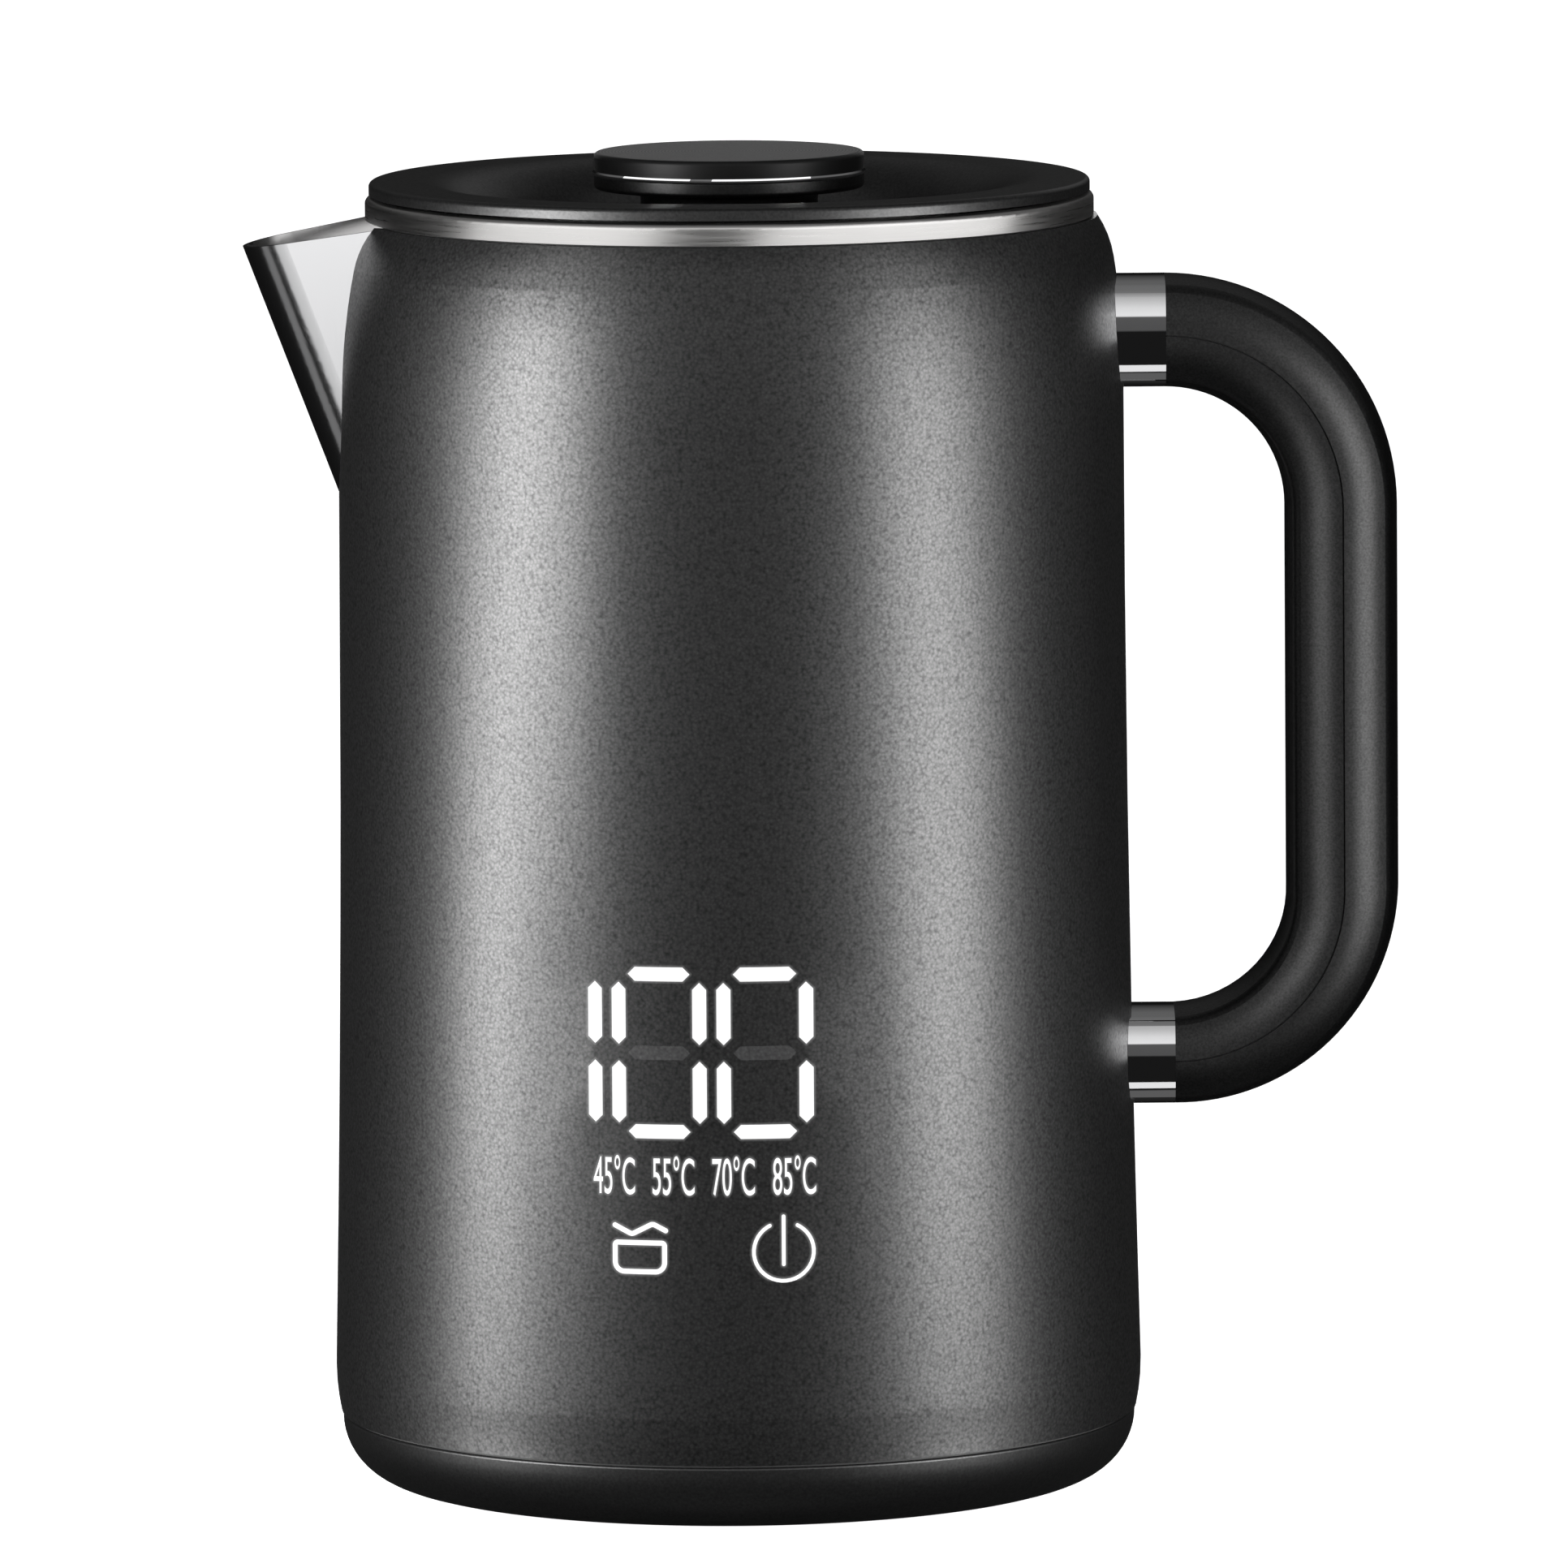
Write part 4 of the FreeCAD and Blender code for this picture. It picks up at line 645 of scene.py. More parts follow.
class Palette:
    """The kettle's finishes."""

    BLACK = (0.001, 0.001, 0.00105)
    SHELL = PebbledCoat(
        "pebbled_shell_coat", (0.0012, 0.0012, 0.00125), roughness=0.41,
        bends=(
            Bend(SHOULDER_HEIGHT, reach=12.0, lean=0.14),
            Bend(HIP_HEIGHT, reach=8.0, lean=-0.05),
        ),
    )
    LID = GrainedMoulding("lid_moulding", BLACK, roughness=0.4)
    KNOB = TurnedMoulding("knob_moulding", (0.003, 0.003, 0.0031), roughness=0.5, unevenness=0.1)
    BASE = GrainedMoulding("base_moulding", BLACK, roughness=0.42, gloss=1.2)
    HANDLE = GrainedMoulding("handle_moulding", BLACK, roughness=0.36, grain=0.4, depth=0.005, gloss=0.8)
    COUPLER = GrainedMoulding("coupler_moulding", (0.02, 0.02, 0.02), roughness=0.5, grain=0.4, depth=0.02)
    RIM = StreakedMetal(
        "drawn_rim_steel", (0.68, 0.67, 0.66), roughness=0.3, streak=0.35, stretch=(40.0, 40.0, 1.0),
        spread=0.2, depth=0.004,
    )
    SPOUT = StreakedMetal(
        "polished_spout_steel", (0.78, 0.78, 0.79), roughness=0.16, streak=0.4, stretch=(1.0, 1.0, 30.0),
        spread=0.06, depth=0.0005,
    )
    CHROME = StreakedMetal(
        "mirror_chrome", (0.86, 0.86, 0.87), roughness=0.03, streak=2.0, spread=0.03, depth=0.0003,
    )
    ZINC = StreakedMetal("zinc_plate", (0.56, 0.56, 0.58), roughness=0.34, streak=0.6)
    ALUMINIUM = StreakedMetal(
        "cast_aluminium", (0.68, 0.69, 0.7), roughness=0.42, streak=0.9, spread=0.15, depth=0.02,
    )
    BRASS = StreakedMetal(
        "contact_brass_metal", (0.76, 0.58, 0.28), roughness=0.26, streak=0.5, stretch=(6.0, 6.0, 1.0),
    )
    SEAL = SoftRubber("black_silicone", (0.02, 0.02, 0.02))
    MILKY = SoftRubber("milky_silicone", (0.62, 0.62, 0.6), clarity=0.3)
    BOARD = Laminate("board_laminate", board=(0.012, 0.09, 0.03), track=(0.03, 0.16, 0.05), pitch=1.6)
    RELAY = GrainedMoulding("relay_case", (0.03, 0.07, 0.26), roughness=0.35, depth=0.01, mottle=0.08)
    DIFFUSER = GrainedMoulding(
        "light_box_moulding", (0.8, 0.8, 0.78), roughness=0.55, grain=0.6, depth=0.01, mottle=0.04,
    )
    LAMP = GrainedMoulding(
        "lamp_resin", (0.75, 0.72, 0.5), roughness=0.2, grain=0.4, depth=0.005, mottle=0.08,
    )
    LIT = LitInlay("lit_window_inlay", strength=0.95)
    UNLIT = PebbledCoat("unlit_window_inlay", (0.0145, 0.0145, 0.0148), roughness=0.41)
    MARK = LitInlay("lit_mark_inlay", strength=0.95)
    GLOW = GlowSkin("glow_on_coat", strength=1.0, attribute="glow")
    PAPER = PalePaper("studio_paper", strength=1.0)


def wear(nodes: dict[str, Finish]) -> None:
    """Give CAD nodes their finishes.

    Args:
        nodes: The finish of each node.
    """
    for node, finish in nodes.items():
        mesh = SHOWN[node].data
        mesh.materials.clear()
        mesh.materials.append(finish.material)
        LOG.info("%s wears %s", node, finish.name)


class Bench:
    """Modelling steps that several pieces share."""

    @staticmethod
    def hold(piece: bpy.types.Object) -> None:
        """Select a piece alone and make it active.

        Args:
            piece: The piece.
        """
        bpy.ops.object.select_all(action="DESELECT")
        piece.select_set(True)
        bpy.context.view_layer.objects.active = piece

    @staticmethod
    def edit(piece: bpy.types.Object) -> None:
        """Open a piece in edit mode with nothing selected.

        Args:
            piece: The piece.
        """
        Bench.hold(piece)
        bpy.ops.object.mode_set(mode="EDIT")
        bpy.ops.mesh.select_all(action="DESELECT")

    @staticmethod
    def pick(piece: bpy.types.Object, chosen: set[int]) -> None:
        """Select vertices of a piece that is open in edit mode.

        Args:
            piece: The piece.
            chosen: Numbers of the vertices.
        """
        bpy.ops.object.mode_set(mode="OBJECT")
        for vertex in piece.data.vertices:
            vertex.select = vertex.index in chosen
        for part in (*piece.data.edges, *piece.data.polygons):
            part.select = all(number in chosen for number in part.vertices)
        bpy.ops.object.mode_set(mode="EDIT")

    @staticmethod
    def settle(piece: bpy.types.Object) -> None:
        """Put a piece's place, turn and scale into its mesh."""
        Bench.hold(piece)
        bpy.ops.object.transform_apply(location=True, rotation=True, scale=True)

    @staticmethod
    def apply(piece: bpy.types.Object, name: str) -> None:
        """Apply one modifier of a piece."""
        Bench.hold(piece)
        bpy.ops.object.modifier_apply(modifier=name)


class Ribbon:
    """A flat stroke in the XZ plane, drawn by extruding and spinning its free edge."""

    STEP = 0.8 * MM
    TURN_STEP = 9.0
    LEAST_TURN_STEPS = 3
    END_ROUND = 0.48
    END_STEPS = 5
    WELD = 0.01 * MM

    def __init__(self, name: str, width: float, start: tuple[float, float], heading: float) -> None:
        """Lay the stroke's first edge.

        Args:
            name: Name of the piece.
            width: Width of the stroke.
            start: X and Z of the stroke's start.
            heading: Direction of the stroke in degrees, from +X towards +Z.
        """
        self.width = width
        self.spot = Vector((start[0], 0.0, start[1]))
        self.heading = math.radians(heading)
        bpy.ops.object.select_all(action="DESELECT")
        bpy.ops.mesh.primitive_plane_add(size=width, location=(0.0, 0.0, 0.0))
        self.piece = bpy.context.object
        self.piece.name = name
        Bench.edit(self.piece)
        far = {v.index for v in self.piece.data.vertices if v.co.x > 0.0}
        Bench.pick(self.piece, far)
        bpy.ops.mesh.delete(type="VERT")
        bpy.ops.mesh.select_all(action="SELECT")
        bpy.ops.object.mode_set(mode="OBJECT")
        side = self.side
        for vertex in self.piece.data.vertices:
            vertex.co = self.spot + side * math.copysign(width / 2.0, vertex.co.y)
        bpy.ops.object.mode_set(mode="EDIT")

    @property
    def ahead(self) -> Vector:
        """The direction of the stroke."""
        return Vector((math.cos(self.heading), 0.0, math.sin(self.heading)))

    @property
    def side(self) -> Vector:
        """The direction across the stroke, to its left."""
        return Vector((-math.sin(self.heading), 0.0, math.cos(self.heading)))

    def run(self, length: float) -> "Ribbon":
        """Draw the stroke straight on.

        Args:
            length: Length of the stretch.

        Returns:
            The ribbon itself.
        """
        steps = max(1, math.ceil(length / self.STEP))
        for _ in range(steps):
            move = self.ahead * (length / steps)
            bpy.ops.mesh.extrude_region_move(TRANSFORM_OT_translate={"value": tuple(move)})
        self.spot += self.ahead * length
        return self

    def bend(self, radius: float, turn: float) -> "Ribbon":
        """Draw the stroke round a bend.

        Args:
            radius: Radius of the stroke's middle line.
            turn: Degrees to the left, or to the right if negative.

        Returns:
            The ribbon itself.
        """
        hand = math.copysign(1.0, turn)
        centre = self.spot + self.side * (hand * radius)
        angle = math.radians(turn)
        steps = max(self.LEAST_TURN_STEPS, math.ceil(abs(turn) / self.TURN_STEP))
        bpy.ops.mesh.spin(steps=steps, angle=angle, center=tuple(centre), axis=(0.0, 1.0, 0.0))
        self.heading += angle
        self.spot = centre - self.side * (hand * radius)
        return self

    def round_ends(self) -> "Ribbon":
        """Round off both ends of the stroke.

        Returns:
            The ribbon itself.
        """
        bpy.ops.object.mode_set(mode="OBJECT")
        last = {vertex.index for vertex in self.piece.data.vertices if vertex.select}
        bpy.ops.object.mode_set(mode="EDIT")
        Bench.pick(self.piece, last | {0, 1})
        offset = self.width * self.END_ROUND
        bpy.ops.mesh.bevel(offset=offset, segments=self.END_STEPS, affect="VERTICES")
        return self

    def close(self) -> bpy.types.Object:
        """Merge the stroke's doubles and leave edit mode.

        Returns:
            The flat piece.
        """
        bpy.ops.mesh.select_all(action="SELECT")
        bpy.ops.mesh.remove_doubles(threshold=self.WELD)
        bpy.ops.object.mode_set(mode="OBJECT")
        return self.piece


@dataclass(frozen=True)
class RoundedEdge:
    """The round of a turned node's upper outer edge, drawn anew on a copy of the node."""

    node: str
    radius: float
    cuts: int = 9
    crease: float = 32.0
    weld: float = 0.002 * MM
    near: float = 0.005 * MM

    def renew(self, body: Body, slot: str) -> None:
        """Show a copy of the node with an even round.

        Args:
            body: The body that the node belongs to.
            slot: Not used.
        """
        piece = bpy.data.objects.new(f"{self.node}_even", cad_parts[self.node].data.copy())
        bpy.context.scene.collection.objects.link(piece)
        Bench.hold(piece)
        bpy.ops.mesh.customdata_custom_splitnormals_clear()
        Bench.edit(piece)
        bpy.ops.mesh.select_all(action="SELECT")
        bpy.ops.mesh.remove_doubles(threshold=self.weld)
        self._open(piece)
        self._bridge(piece)
        bpy.ops.object.shade_smooth_by_angle(angle=math.radians(self.crease))
        even = piece.modifiers.new("even", "WEIGHTED_NORMAL")
        even.keep_sharp = True
        Bench.apply(piece, "even")
        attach(piece, body.value)
        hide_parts(self.node)
        SHOWN[self.node] = piece
        LOG.info("%s stands for %s with an even round", piece.name, self.node)

    @property
    def centre(self) -> tuple[float, float]:
        """Distance from the axis and height of the round's centre ring."""
        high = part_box(self.node)[1]
        return high.x - self.radius, high.z - self.radius

    def _open(self, piece: bpy.types.Object) -> None:
        """Delete the faces of the old round.

        Args:
            piece: The copy of the node, open in edit mode.
        """
        reach, height = (place - self.near for place in self.centre)
        top = height + self.radius
        bpy.ops.mesh.select_all(action="DESELECT")
        bpy.ops.object.mode_set(mode="OBJECT")
        for face in piece.data.polygons:
            spots = [piece.data.vertices[number].co for number in face.vertices]
            outside = all(spot.xy.length > reach and spot.z > height for spot in spots)
            face.select = outside and any(spot.z < top for spot in spots)
        bpy.ops.object.mode_set(mode="EDIT")
        bpy.ops.mesh.delete(type="FACE")

    def _bridge(self, piece: bpy.types.Object) -> None:
        """Bridge the gap and press the new rows on the round.

        Args:
            piece: The copy of the node, open in edit mode.
        """
        bpy.ops.mesh.select_mode(type="EDGE")
        bpy.ops.mesh.select_non_manifold(
            extend=False, use_wire=False, use_multi_face=False, use_non_contiguous=False, use_verts=False,
        )
        bpy.ops.mesh.bridge_edge_loops(number_cuts=self.cuts, interpolation="SURFACE")
        bpy.ops.mesh.select_all(action="SELECT")
        bpy.ops.mesh.normals_make_consistent(inside=False)
        bpy.ops.object.mode_set(mode="OBJECT")
        reach, height = self.centre
        for vertex in piece.data.vertices:
            out = Vector((vertex.co.xy.length - reach, vertex.co.z - height))
            if min(out) > 0.0:
                out.length = self.radius
                flat = vertex.co.xy.normalized() * (reach + out.x)
                vertex.co = (*flat, height + out.y)


@dataclass
class Assembly:
    """A sub-assembly: the body that it rides on, its own pieces and the finishes of its CAD nodes."""

    body: Body = Body.KETTLE

    def build(self) -> None:
        """Make the pieces that the CAD nodes don't give, where a sub-assembly has any."""

    def dress(self) -> None:
        """Dress the CAD nodes."""
        raise NotImplementedError


@dataclass
class Lid(Assembly):
    """Lift-off lid with its knob."""

    body: Body = Body.LID
    edge: RoundedEdge = RoundedEdge("lid_cover", 0.9 * MM)

    def build(self) -> None:
        """Draw the round of the lid's edge anew."""
        self.edge.renew(self.body, "satin_black")

    def dress(self) -> None:
        """Dress the lid's own nodes."""
        wear({
            "lid_cover": Palette.LID, "lid_skirt": Palette.LID, "lid_liner": Palette.RIM,
            "lid_seal": Palette.MILKY, "lid_screws": Palette.ZINC, "knob_base": Palette.LID,
            "knob_ring": Palette.CHROME, "knob_cap": Palette.KNOB, "knob_screw": Palette.ZINC,
        })


@dataclass
class Vessel(Assembly):
    """Steel pot, spout, heater and base."""

    rim: RoundedEdge = RoundedEdge("inner_pot", 1.2 * MM)

    def build(self) -> None:
        """Draw the round of the pot's rim anew."""
        self.rim.renew(self.body, "rim_steel")

    def dress(self) -> None:
        """Dress the vessel's nodes."""
        wear({
            "inner_pot": Palette.RIM, "spout": Palette.SPOUT, "rim_gasket": Palette.SEAL,
            "base_cup": Palette.BASE, "base_gasket": Palette.SEAL, "base_screws": Palette.ZINC,
            "pot_bracket": Palette.ZINC, "heater_plate": Palette.ALUMINIUM,
            "heater_element": Palette.ALUMINIUM, "element_terminals": Palette.ZINC,
            "dry_boil_cutouts": Palette.ALUMINIUM, "temperature_probe": Palette.RIM,
            "probe_gasket": Palette.MILKY, "probe_nut": Palette.BRASS, "coupler_body": Palette.COUPLER,
            "earth_pin": Palette.BRASS, "line_ring": Palette.BRASS, "neutral_ring": Palette.BRASS,
            "coupler_screws": Palette.ZINC, "control_board": Palette.BOARD, "power_relay": Palette.RELAY,
            "board_screws": Palette.ZINC,
        })


@dataclass
class Handle(Assembly):
    """D-shaped handle on its two ferrules."""

    def dress(self) -> None:
        """Dress the handle's nodes."""
        wear({
            "handle_outer_half": Palette.HANDLE, "handle_inner_half": Palette.HANDLE,
            "upper_ferrule": Palette.CHROME, "lower_ferrule": Palette.CHROME,
            "upper_anchor": Palette.COUPLER, "lower_anchor": Palette.COUPLER,
            "handle_screws": Palette.ZINC, "backing_plates": Palette.ZINC,
        })


@dataclass
class Display(Assembly):
    """Outer shell with its lit digits, temperature marks and touch icons.

    The places are on the plane in front of the shell, before the display's turn about the body's axis.
    """

    turn: float = -5.2
    lift: float = 0.12 * MM
    skin: float = 0.04 * MM
    wrap_ratio: float = 1.3
    marks: tuple[str, ...] = ("45", "55", "70", "85")
    mark_unit: str = "°C"
    mark_width: float = 7.5 * MM
    mark_height: float = 7.0 * MM
    mark_middle: float = 64.7 * MM
    mark_first: float = -15.5 * MM
    mark_pitch: float = 10.7 * MM
    cup_x: float = -10.95 * MM
    cup_z: float = 50.05 * MM
    cup_width: float = 9.8 * MM
    cup_height: float = 6.05 * MM
    cup_corner: float = 1.7 * MM
    cup_inner_corner: float = 0.05 * MM
    cup_stroke: float = 0.88 * MM
    wave_low: float = 53.95 * MM
    wave_start: float = 1.95 * MM
    wave_inset: float = 0.05 * MM
    wave_slope: float = 27.0
    wave_radius: float = 0.9 * MM
    wave_runs: tuple[float, float, float] = (3.4 * MM, 3.3 * MM, 2.6 * MM)
    power_x: float = 14.65 * MM
    power_z: float = 51.1 * MM
    power_radius: float = 5.25 * MM
    power_gap: float = 24.0
    power_stroke: float = 0.64 * MM
    power_rise: float = 6.6 * MM
    power_drop: float = 2.6 * MM
    glow_reach: float = 0.6 * MM
    glow_step: float = 0.16 * MM
    glow_peak: float = 0.2
    glow_fall: float = 2.0
    glow_lift: float = 0.7 * lift
    glow_spare: float = 4.0 * MM
    glow_shift: float = 0.5 * MM

    def build(self) -> None:
        """Make the marks, the icons and their glow."""
        pieces = [self._mark(number, degrees) for number, degrees in enumerate(self.marks)]
        pieces += [self._cup(), self._wave(), self._power_ring(), self._power_bar()]
        for piece in pieces:
            self._wrap(piece, self.lift)
            self._thicken(piece)
            self._finish(piece, Palette.MARK, "lit_window")
        self._glow(pieces)

    def dress(self) -> None:
        """Dress the shell's and the display's nodes."""
        wear({
            "outer_shell": Palette.SHELL, "digit_windows": Palette.LIT,
            "dark_digit_windows": Palette.UNLIT, "display_board": Palette.BOARD,
            "display_leds": Palette.LAMP, "touch_pads": Palette.BRASS, "light_box": Palette.DIFFUSER,
        })

    def _mark(self, number: int, degrees: str) -> bpy.types.Object:
        """Write one temperature mark.

        Args:
            number: Place of the mark from the left.
            degrees: Its digits.

        Returns:
            The flat mark.
        """
        bpy.ops.object.select_all(action="DESELECT")
        bpy.ops.object.text_add()
        bpy.context.object.data.body = degrees + self.mark_unit
        bpy.ops.object.convert(target="CURVE")
        piece = bpy.context.object
        piece.name = f"mark_{degrees}"
        size = piece.dimensions
        piece.scale = (self.mark_width / size.x, self.mark_height / size.y, 1.0)
        bpy.ops.object.transform_apply(location=False, rotation=False, scale=True)
        bpy.ops.object.convert(target="MESH")
        bpy.ops.object.origin_set(type="ORIGIN_GEOMETRY", center="BOUNDS")
        piece = bpy.context.object
        piece.location = (self.mark_first + number * self.mark_pitch, 0.0, self.mark_middle)
        piece.rotation_euler = (math.radians(90.0), 0.0, 0.0)
        Bench.settle(piece)
        return piece

    def _cup(self) -> bpy.types.Object:
        """Draw the outline of the cup, with tight upper and round lower corners.

        Returns:
            The flat icon.
        """
        width = self.cup_width - self.cup_stroke
        height = self.cup_height - self.cup_stroke
        corner = self.cup_corner
        tight = self.cup_stroke / 2.0 + self.cup_inner_corner
        start = (self.cup_x, self.cup_z - height / 2.0)
        ribbon = Ribbon("cup_icon", self.cup_stroke, start, 0.0)
        ribbon.run(width / 2.0 - corner).bend(corner, 90.0).run(height - corner - tight).bend(tight, 90.0)
        ribbon.run(width - 2.0 * tight).bend(tight, 90.0).run(height - corner - tight).bend(corner, 90.0)
        return ribbon.run(width / 2.0 - corner).close()

    def _wave(self) -> bpy.types.Object:
        """Draw the wavy line over the cup.

        Returns:
            The flat icon.
        """
        down, up, last = self.wave_runs
        turn = 2.0 * self.wave_slope
        left = self.cup_x - self.cup_width / 2.0 + self.wave_inset
        start = (left, self.wave_low + self.wave_start)
        ribbon = Ribbon("steam_icon", self.cup_stroke, start, -self.wave_slope)
        ribbon.run(down).bend(self.wave_radius, turn).run(up).bend(self.wave_radius, -turn).run(last)
        return ribbon.round_ends().close()

    def _power_ring(self) -> bpy.types.Object:
        """Draw the open ring of the power icon.

        Returns:
            The flat icon.
        """
        angle = math.radians(90.0 - self.power_gap)
        start = (
            self.power_x + self.power_radius * math.cos(angle),
            self.power_z + self.power_radius * math.sin(angle),
        )
        ribbon = Ribbon("power_ring_icon", self.power_stroke, start, -self.power_gap)
        return ribbon.bend(self.power_radius, -(360.0 - 2.0 * self.power_gap)).round_ends().close()

    def _power_bar(self) -> bpy.types.Object:
        """Draw the bar of the power icon.

        Returns:
            The flat icon.
        """
        start = (self.power_x, self.power_z - self.power_drop)
        ribbon = Ribbon("power_bar_icon", self.power_stroke, start, 90.0)
        return ribbon.run(self.power_rise + self.power_drop).round_ends().close()

    def _wrap(self, piece: bpy.types.Object, lift: float) -> None:
        """Wrap a flat piece on the plain back of the shell, then turn it to the display's place.

        Args:
            piece: A piece in the XZ plane, seen from the front.
            lift: Its height over the shell.
        """
        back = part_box("outer_shell")[1].y
        piece.rotation_euler = (0.0, 0.0, math.pi)
        piece.location = (0.0, back * self.wrap_ratio, 0.0)
        Bench.settle(piece)
        wrap = piece.modifiers.new("wrap", "SHRINKWRAP")
        wrap.wrap_method = "PROJECT"
        wrap.use_project_y = True
        wrap.use_positive_direction = False
        wrap.use_negative_direction = True
        wrap.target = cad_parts["outer_shell"]
        wrap.offset = lift
        Bench.apply(piece, "wrap")
        piece.rotation_euler = (0.0, 0.0, math.pi + math.radians(self.turn))
        Bench.settle(piece)
        self._face_out(piece)

    @staticmethod
    def _face_out(piece: bpy.types.Object) -> None:
        """Make the faces of a wrapped piece point away from the shell.

        Args:
            piece: The piece.
        """
        faces = piece.data.polygons
        inward = {face.index for face in faces if face.normal.xy.dot(face.center.xy) < 0.0}
        if inward:
            Bench.edit(piece)
            bpy.ops.object.mode_set(mode="OBJECT")
            for face in piece.data.polygons:
                face.select = face.index in inward
            bpy.ops.object.mode_set(mode="EDIT")
            bpy.ops.mesh.flip_normals()
            bpy.ops.object.mode_set(mode="OBJECT")

    def _thicken(self, piece: bpy.types.Object) -> None:
        """Give a wrapped piece its thickness.

        Args:
            piece: The piece.
        """
        skin = piece.modifiers.new("skin", "SOLIDIFY")
        skin.thickness = self.skin
        skin.offset = 1.0
        Bench.apply(piece, "skin")

    def _finish(self, piece: bpy.types.Object, finish: Finish, slot: str) -> None:
        """Dress a new piece and let it ride on the kettle.

        Args:
            piece: The piece.
            finish: Its finish.
            slot: Not used.
        """
        piece.data.materials.clear()
        piece.data.materials.append(finish.material)
        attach(piece, self.body.value)
        LOG.info("%s made with %d faces", piece.name, len(piece.data.polygons))

    def _glow(self, marks: list[bpy.types.Object]) -> None:
        """Make the skin of light around the digits, marks and icons.

        Args:
            marks: The lit pieces besides the digits.
        """
        skin = self._glow_grid()
        self._wrap(skin, self.glow_lift)
        trees = []
        for lit in (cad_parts["digit_windows"], *marks):
            spots = [vertex.co for vertex in lit.data.vertices]
            trees.append(BVHTree.FromPolygons(spots, [tuple(face.vertices) for face in lit.data.polygons]))
        density = [self._density(trees, vertex.co) for vertex in skin.data.vertices]
        layer = skin.data.attributes.new(Palette.GLOW.attribute, "FLOAT", "POINT")
        layer.data.foreach_set("value", density)
        Bench.edit(skin)
        Bench.pick(skin, {number for number, value in enumerate(density) if value == 0.0})
        bpy.ops.mesh.delete(type="VERT")
        bpy.ops.object.mode_set(mode="OBJECT")
        self._finish(skin, Palette.GLOW, "lit_window")

    def _glow_grid(self) -> bpy.types.Object:
        """Lay a fine flat grid over the digits, marks and icons.

        Returns:
            The grid.
        """
        low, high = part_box("digit_windows")
        edge = 2.0 * self.glow_reach
        foot = self.cup_z - self.cup_height / 2.0 - edge
        width = high.x - low.x + 2.0 * edge + self.glow_spare
        height = high.z + edge - foot
        across, up = (math.ceil(side / self.glow_step) for side in (width, height))
        bpy.ops.object.select_all(action="DESELECT")
        bpy.ops.mesh.primitive_grid_add(x_subdivisions=across, y_subdivisions=up, size=1.0)
        grid = bpy.context.object
        grid.name = "display_glow"
        grid.scale = (width, height, 1.0)
        grid.rotation_euler = (math.radians(90.0), 0.0, 0.0)
        grid.location = (self.glow_shift, 0.0, foot + height / 2.0)
        Bench.settle(grid)
        return grid

    def _density(self, trees: list[BVHTree], spot: Vector) -> float:
        """Give the density of the glow at a spot.

        Args:
            trees: The lit pieces.
            spot: A place on the skin.

        Returns:
            The peak on a lit piece, falling to zero at the glow's reach.
        """
        gaps = [tree.find_nearest(spot, self.glow_reach)[3] for tree in trees]
        near = min((gap for gap in gaps if gap is not None), default=self.glow_reach)
        return max(0.0, 1.0 - near / self.glow_reach) ** self.glow_fall * self.glow_peak


@dataclass(frozen=True)
class SoftBox:
    """A soft box around the kettle.

    Its turn is in degrees to the right of the camera, seen from the kettle. Its low is the height of its
    lower edge, or of a box that lies flat, and its tone is its brightness.
    """

    name: str
    turn: float
    width: float
    height: float
    low: float
    tone: float
    falls: Falls
    distance: float = 1.2
    stand: Stand = Stand.UPRIGHT

    def hang(self, group: bpy.types.Collection) -> None:
        """Make the light.

        Args:
            group: Pieces marked as those that the light reaches or leaves out.
        """
        angle = math.radians(self.turn)
        side = Vector((math.sin(angle), -math.cos(angle), 0.0))
        upright = self.stand is Stand.UPRIGHT
        middle = self.low + self.height / 2.0 if upright else self.low
        facing = -side if upright else UP * self.stand.value
        bpy.ops.object.light_add(type="AREA", location=side * self.distance + UP * middle)
        box = bpy.context.object
        box.name = self.name
        box.data.shape = "RECTANGLE"
        box.data.size = self.width
        box.data.size_y = self.height
        box.data.energy = self.tone * math.pi * self.width * self.height
        box.rotation_euler = facing.to_track_quat("-Z", "Y").to_euler()
        box.light_linking.receiver_collection = group


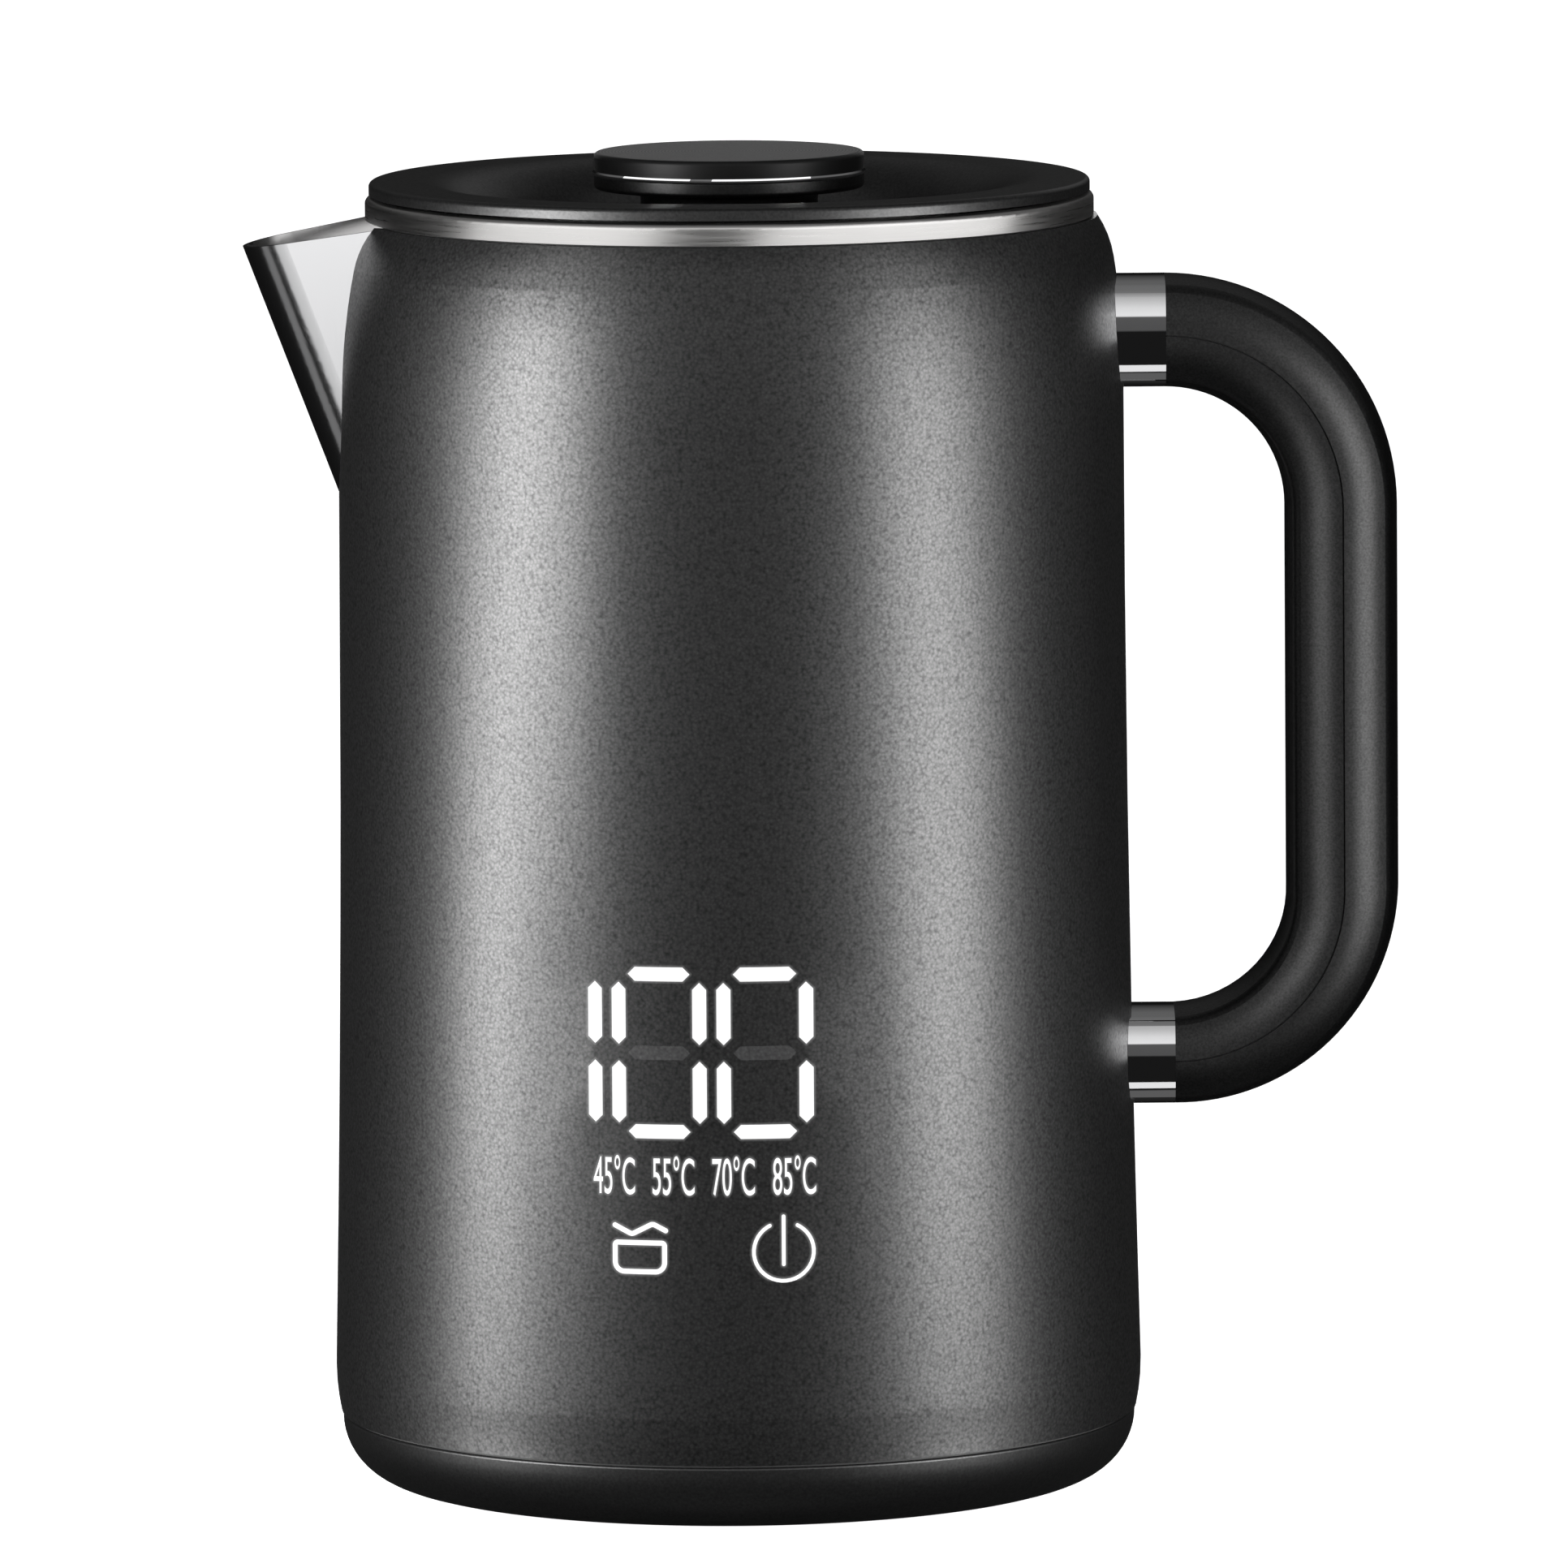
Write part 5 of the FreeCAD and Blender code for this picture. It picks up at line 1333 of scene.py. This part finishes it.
@dataclass
class Studio:
    """Paper floor, soft boxes, surroundings and camera.

    Lengths are in metres and angles in degrees. The tones are the brightness of the surroundings by the
    height of a direction, and the front's take over from the back's between the two ends of the front edge.
    """

    distance: float = 3.0
    height: float = 0.4843
    pitch: float = 6.81
    yaw: float = 0.173
    roll: float = -0.45
    focal_px: float = 20537.9
    sensor: float = 36.0
    sight: float = 100.0
    floor_side: float = 30.0
    floor_cuts: int = 8
    floor_drop: float = 0.05 * MM
    front_edge: tuple[float, float] = (0.1, 0.4)
    front_tones: Stops = (
        (-1.0, 0.12), (-0.86, 0.12), (-0.84, 0.01), (0.01, 0.01), (0.05, 0.09), (0.35, 0.1),
        (0.38, 0.9), (0.55, 0.8), (0.75, 0.5), (0.8, 0.2), (1.0, 0.16),
    )
    back_tones: Stops = ((-1.0, 0.02), (-0.3, 0.006), (0.2, 0.006), (0.5, 0.12), (1.0, 0.16))
    # Each box's name, turn, width and height, and then the rest by name.
    boxes: tuple[SoftBox, ...] = (
        SoftBox("left_high_box", -55.5, 0.2, 0.18, low=0.1, tone=29.0, falls=Falls.ON_COATS, distance=0.5),
        SoftBox("left_box", -70.0, 0.14, 0.14, low=-0.02, tone=28.0, falls=Falls.ON_COATS, distance=0.5),
        SoftBox("left_low_box", -75.0, 0.16, 0.3, low=-0.44, tone=15.0, falls=Falls.ON_SHELL, distance=0.5),
        SoftBox("right_high_box", 52.5, 0.2, 0.18, low=0.1, tone=15.0, falls=Falls.ON_COATS, distance=0.5),
        SoftBox("right_box", 60.0, 0.2, 0.14, low=-0.02, tone=20.0, falls=Falls.ON_COATS, distance=0.5),
        SoftBox("right_low_box", 66.0, 0.2, 0.3, low=-0.44, tone=11.0, falls=Falls.ON_SHELL, distance=0.5),
        SoftBox("left_top_box", -55.5, 0.2, 0.5, low=0.28, tone=5.0, falls=Falls.ON_SHELL, distance=0.5),
        SoftBox("right_top_box", 52.5, 0.2, 0.5, low=0.28, tone=3.5, falls=Falls.ON_SHELL, distance=0.5),
        SoftBox("rear_box", 180.0, 0.24, 0.5, low=-0.15, tone=3.0, falls=Falls.ON_SHELL, distance=0.5),
        SoftBox("front_box", 0.0, 1.0, 0.24, low=0.12, tone=0.6, falls=Falls.ON_COATS, distance=0.6),
        SoftBox("left_grip_box", -21.0, 0.3, 0.5, low=-0.1, tone=4.8, falls=Falls.ON_GRIP, distance=0.8),
        SoftBox("right_grip_box", 39.0, 0.3, 0.5, low=-0.1, tone=8.3, falls=Falls.ON_GRIP, distance=0.8),
        SoftBox("left_card", -54.5, 1.6, 0.85, low=0.0, tone=1.35, falls=Falls.ON_METALS),
        SoftBox("right_card", 53.0, 2.4, 0.85, low=0.0, tone=1.55, falls=Falls.ON_METALS),
        SoftBox("ferrule_card", 0.0, 0.7, 0.54, low=-1.58, tone=0.9, falls=Falls.ON_METALS),
        SoftBox(
            "spout_card", -43.1, 0.6, 0.63, low=0.001, tone=0.7,
            falls=Falls.ON_METALS, distance=0.732, stand=Stand.FACE_UP,
        ),
        SoftBox(
            "far_spout_card", -36.3, 0.6, 0.44, low=0.0005, tone=0.52,
            falls=Falls.ON_METALS, distance=0.844, stand=Stand.FACE_UP,
        ),
        SoftBox(
            "nose_card", -87.9, 0.3, 0.14, low=0.0015, tone=0.2,
            falls=Falls.ON_METALS, distance=0.55, stand=Stand.FACE_UP,
        ),
        SoftBox("back_box", 150.0, 1.0, 0.7, low=0.45, tone=0.14, falls=Falls.ON_LID),
        SoftBox("knob_box", 180.0, 1.0, 0.4, low=0.2, tone=0.95, falls=Falls.ON_KNOB_CAP),
        SoftBox(
            "left_ring_card", -101.65, 1.3, 1.3, low=1.24, tone=1.3,
            falls=Falls.ON_KNOB_RING, distance=0.99, stand=Stand.FACE_DOWN,
        ),
        SoftBox(
            "right_ring_card", 90.0, 0.82, 0.82, low=1.24, tone=1.3,
            falls=Falls.ON_KNOB_RING, distance=0.27, stand=Stand.FACE_DOWN,
        ),
    )

    def build(self) -> None:
        """Set up the floor, the lights, the surroundings and the camera."""
        self._floor()
        groups = {falls: self._group(falls) for falls in Falls}
        for box in self.boxes:
            box.hang(groups[box.falls])
        self._surroundings()
        self._camera()
        bpy.context.scene.view_settings.view_transform = "Standard"

    def _floor(self) -> None:
        """Lay the paper floor under the kettle."""
        bpy.ops.object.select_all(action="DESELECT")
        cuts = self.floor_cuts
        bpy.ops.mesh.primitive_grid_add(x_subdivisions=cuts, y_subdivisions=cuts, size=self.floor_side)
        floor = bpy.context.object
        floor.name = "paper_floor"
        floor.location.z = -self.floor_drop
        Bench.settle(floor)
        floor.data.materials.append(Palette.PAPER.material)
        floor.visible_glossy = False
        floor.visible_shadow = False

    @staticmethod
    def _group(falls: Falls) -> bpy.types.Collection:
        """Gather the pieces that some lights fall on, or leave out.

        Args:
            falls: What the lights fall on.

        Returns:
            The pieces, marked as lit alone or as left out.
        """
        nodes, state = falls.value
        group = bpy.data.collections.new(falls.name.lower())
        for node in nodes:
            group.objects.link(SHOWN[node])
        for entry in group.collection_objects:
            entry.light_linking.link_state = state
        return group

    @staticmethod
    def _tones(sheet: Sheet, rise: Wire, tones: Stops) -> Wire:
        """Give a tone for each height of a direction.

        Args:
            sheet: The sheet of the surroundings.
            rise: Height of the direction, from -1 straight down to 1 straight up.
            tones: Heights and their tones.

        Returns:
            A wire of the tone.
        """
        stops = tuple((height * 0.5 + 0.5, tone) for height, tone in tones)
        return sheet.add("ShaderNodeValToRGB", {"stops": stops}, {0: rise * 0.5 + 0.5}, "Color")

    def _surroundings(self) -> None:
        """Draw a dark studio with a bright ceiling and a pale floor in front of the kettle."""
        world = bpy.data.worlds.new("studio")
        bpy.context.scene.world = world
        world.use_nodes = True
        sheet = Sheet(world.node_tree)
        spot = sheet.add("ShaderNodeTexCoord", output="Generated")
        across, ahead, rise = (sheet.add("ShaderNodeSeparateXYZ", {}, {0: spot}, axis) for axis in "XYZ")
        facing = ahead * (across * across + ahead * ahead) ** -0.5 * -1.0
        begin, full = self.front_edge
        sockets = {"Value": facing, "From Min": begin, "From Max": full}
        front = sheet.add("ShaderNodeMapRange", {"interpolation_type": "SMOOTHSTEP"}, sockets)
        ends = [self._tones(sheet, rise, tones) for tones in (self.back_tones, self.front_tones)]
        seen = sheet.add("ShaderNodeLightPath", output="Is Camera Ray")
        colour = sheet.blend(seen, sheet.blend(front, *ends), WHITE)
        light = sheet.add("ShaderNodeBackground", {}, {"Color": colour, "Strength": 1.0})
        sheet.add("ShaderNodeOutputWorld", {}, {"Surface": light})

    def _camera(self) -> None:
        """Set the camera at the photograph's place."""
        pitch, yaw, roll = (math.radians(angle) for angle in (self.pitch, self.yaw, self.roll))
        level = Vector((math.sin(yaw), math.cos(yaw), 0.0))
        across = Vector((math.cos(yaw), -math.sin(yaw), 0.0))
        ahead = level * math.cos(pitch) - UP * math.sin(pitch)
        rise = UP * math.cos(pitch) + level * math.sin(pitch)
        right = across * math.cos(roll) + rise * math.sin(roll)
        top = rise * math.cos(roll) - across * math.sin(roll)
        data = bpy.data.cameras.new("camera")
        data.sensor_width = self.sensor
        data.lens = self.focal_px / PHOTO_SIDE_PX * self.sensor
        data.clip_end = self.sight
        camera = bpy.data.objects.new("camera", data)
        bpy.context.scene.collection.objects.link(camera)
        turn = Matrix((right, top, -ahead)).transposed().to_4x4()
        camera.matrix_world = Matrix.Translation((0.0, -self.distance, self.height)) @ turn
        bpy.context.scene.camera = camera


def main() -> None:
    """Dress the kettle, make its marks and set up the studio."""
    logging.basicConfig(level=logging.INFO, format="%(name)s: %(message)s")
    for assembly in (Lid(), Vessel(), Display(), Handle()):
        assembly.build()
        assembly.dress()
    Studio().build()


if __name__ == "__main__":
    main()
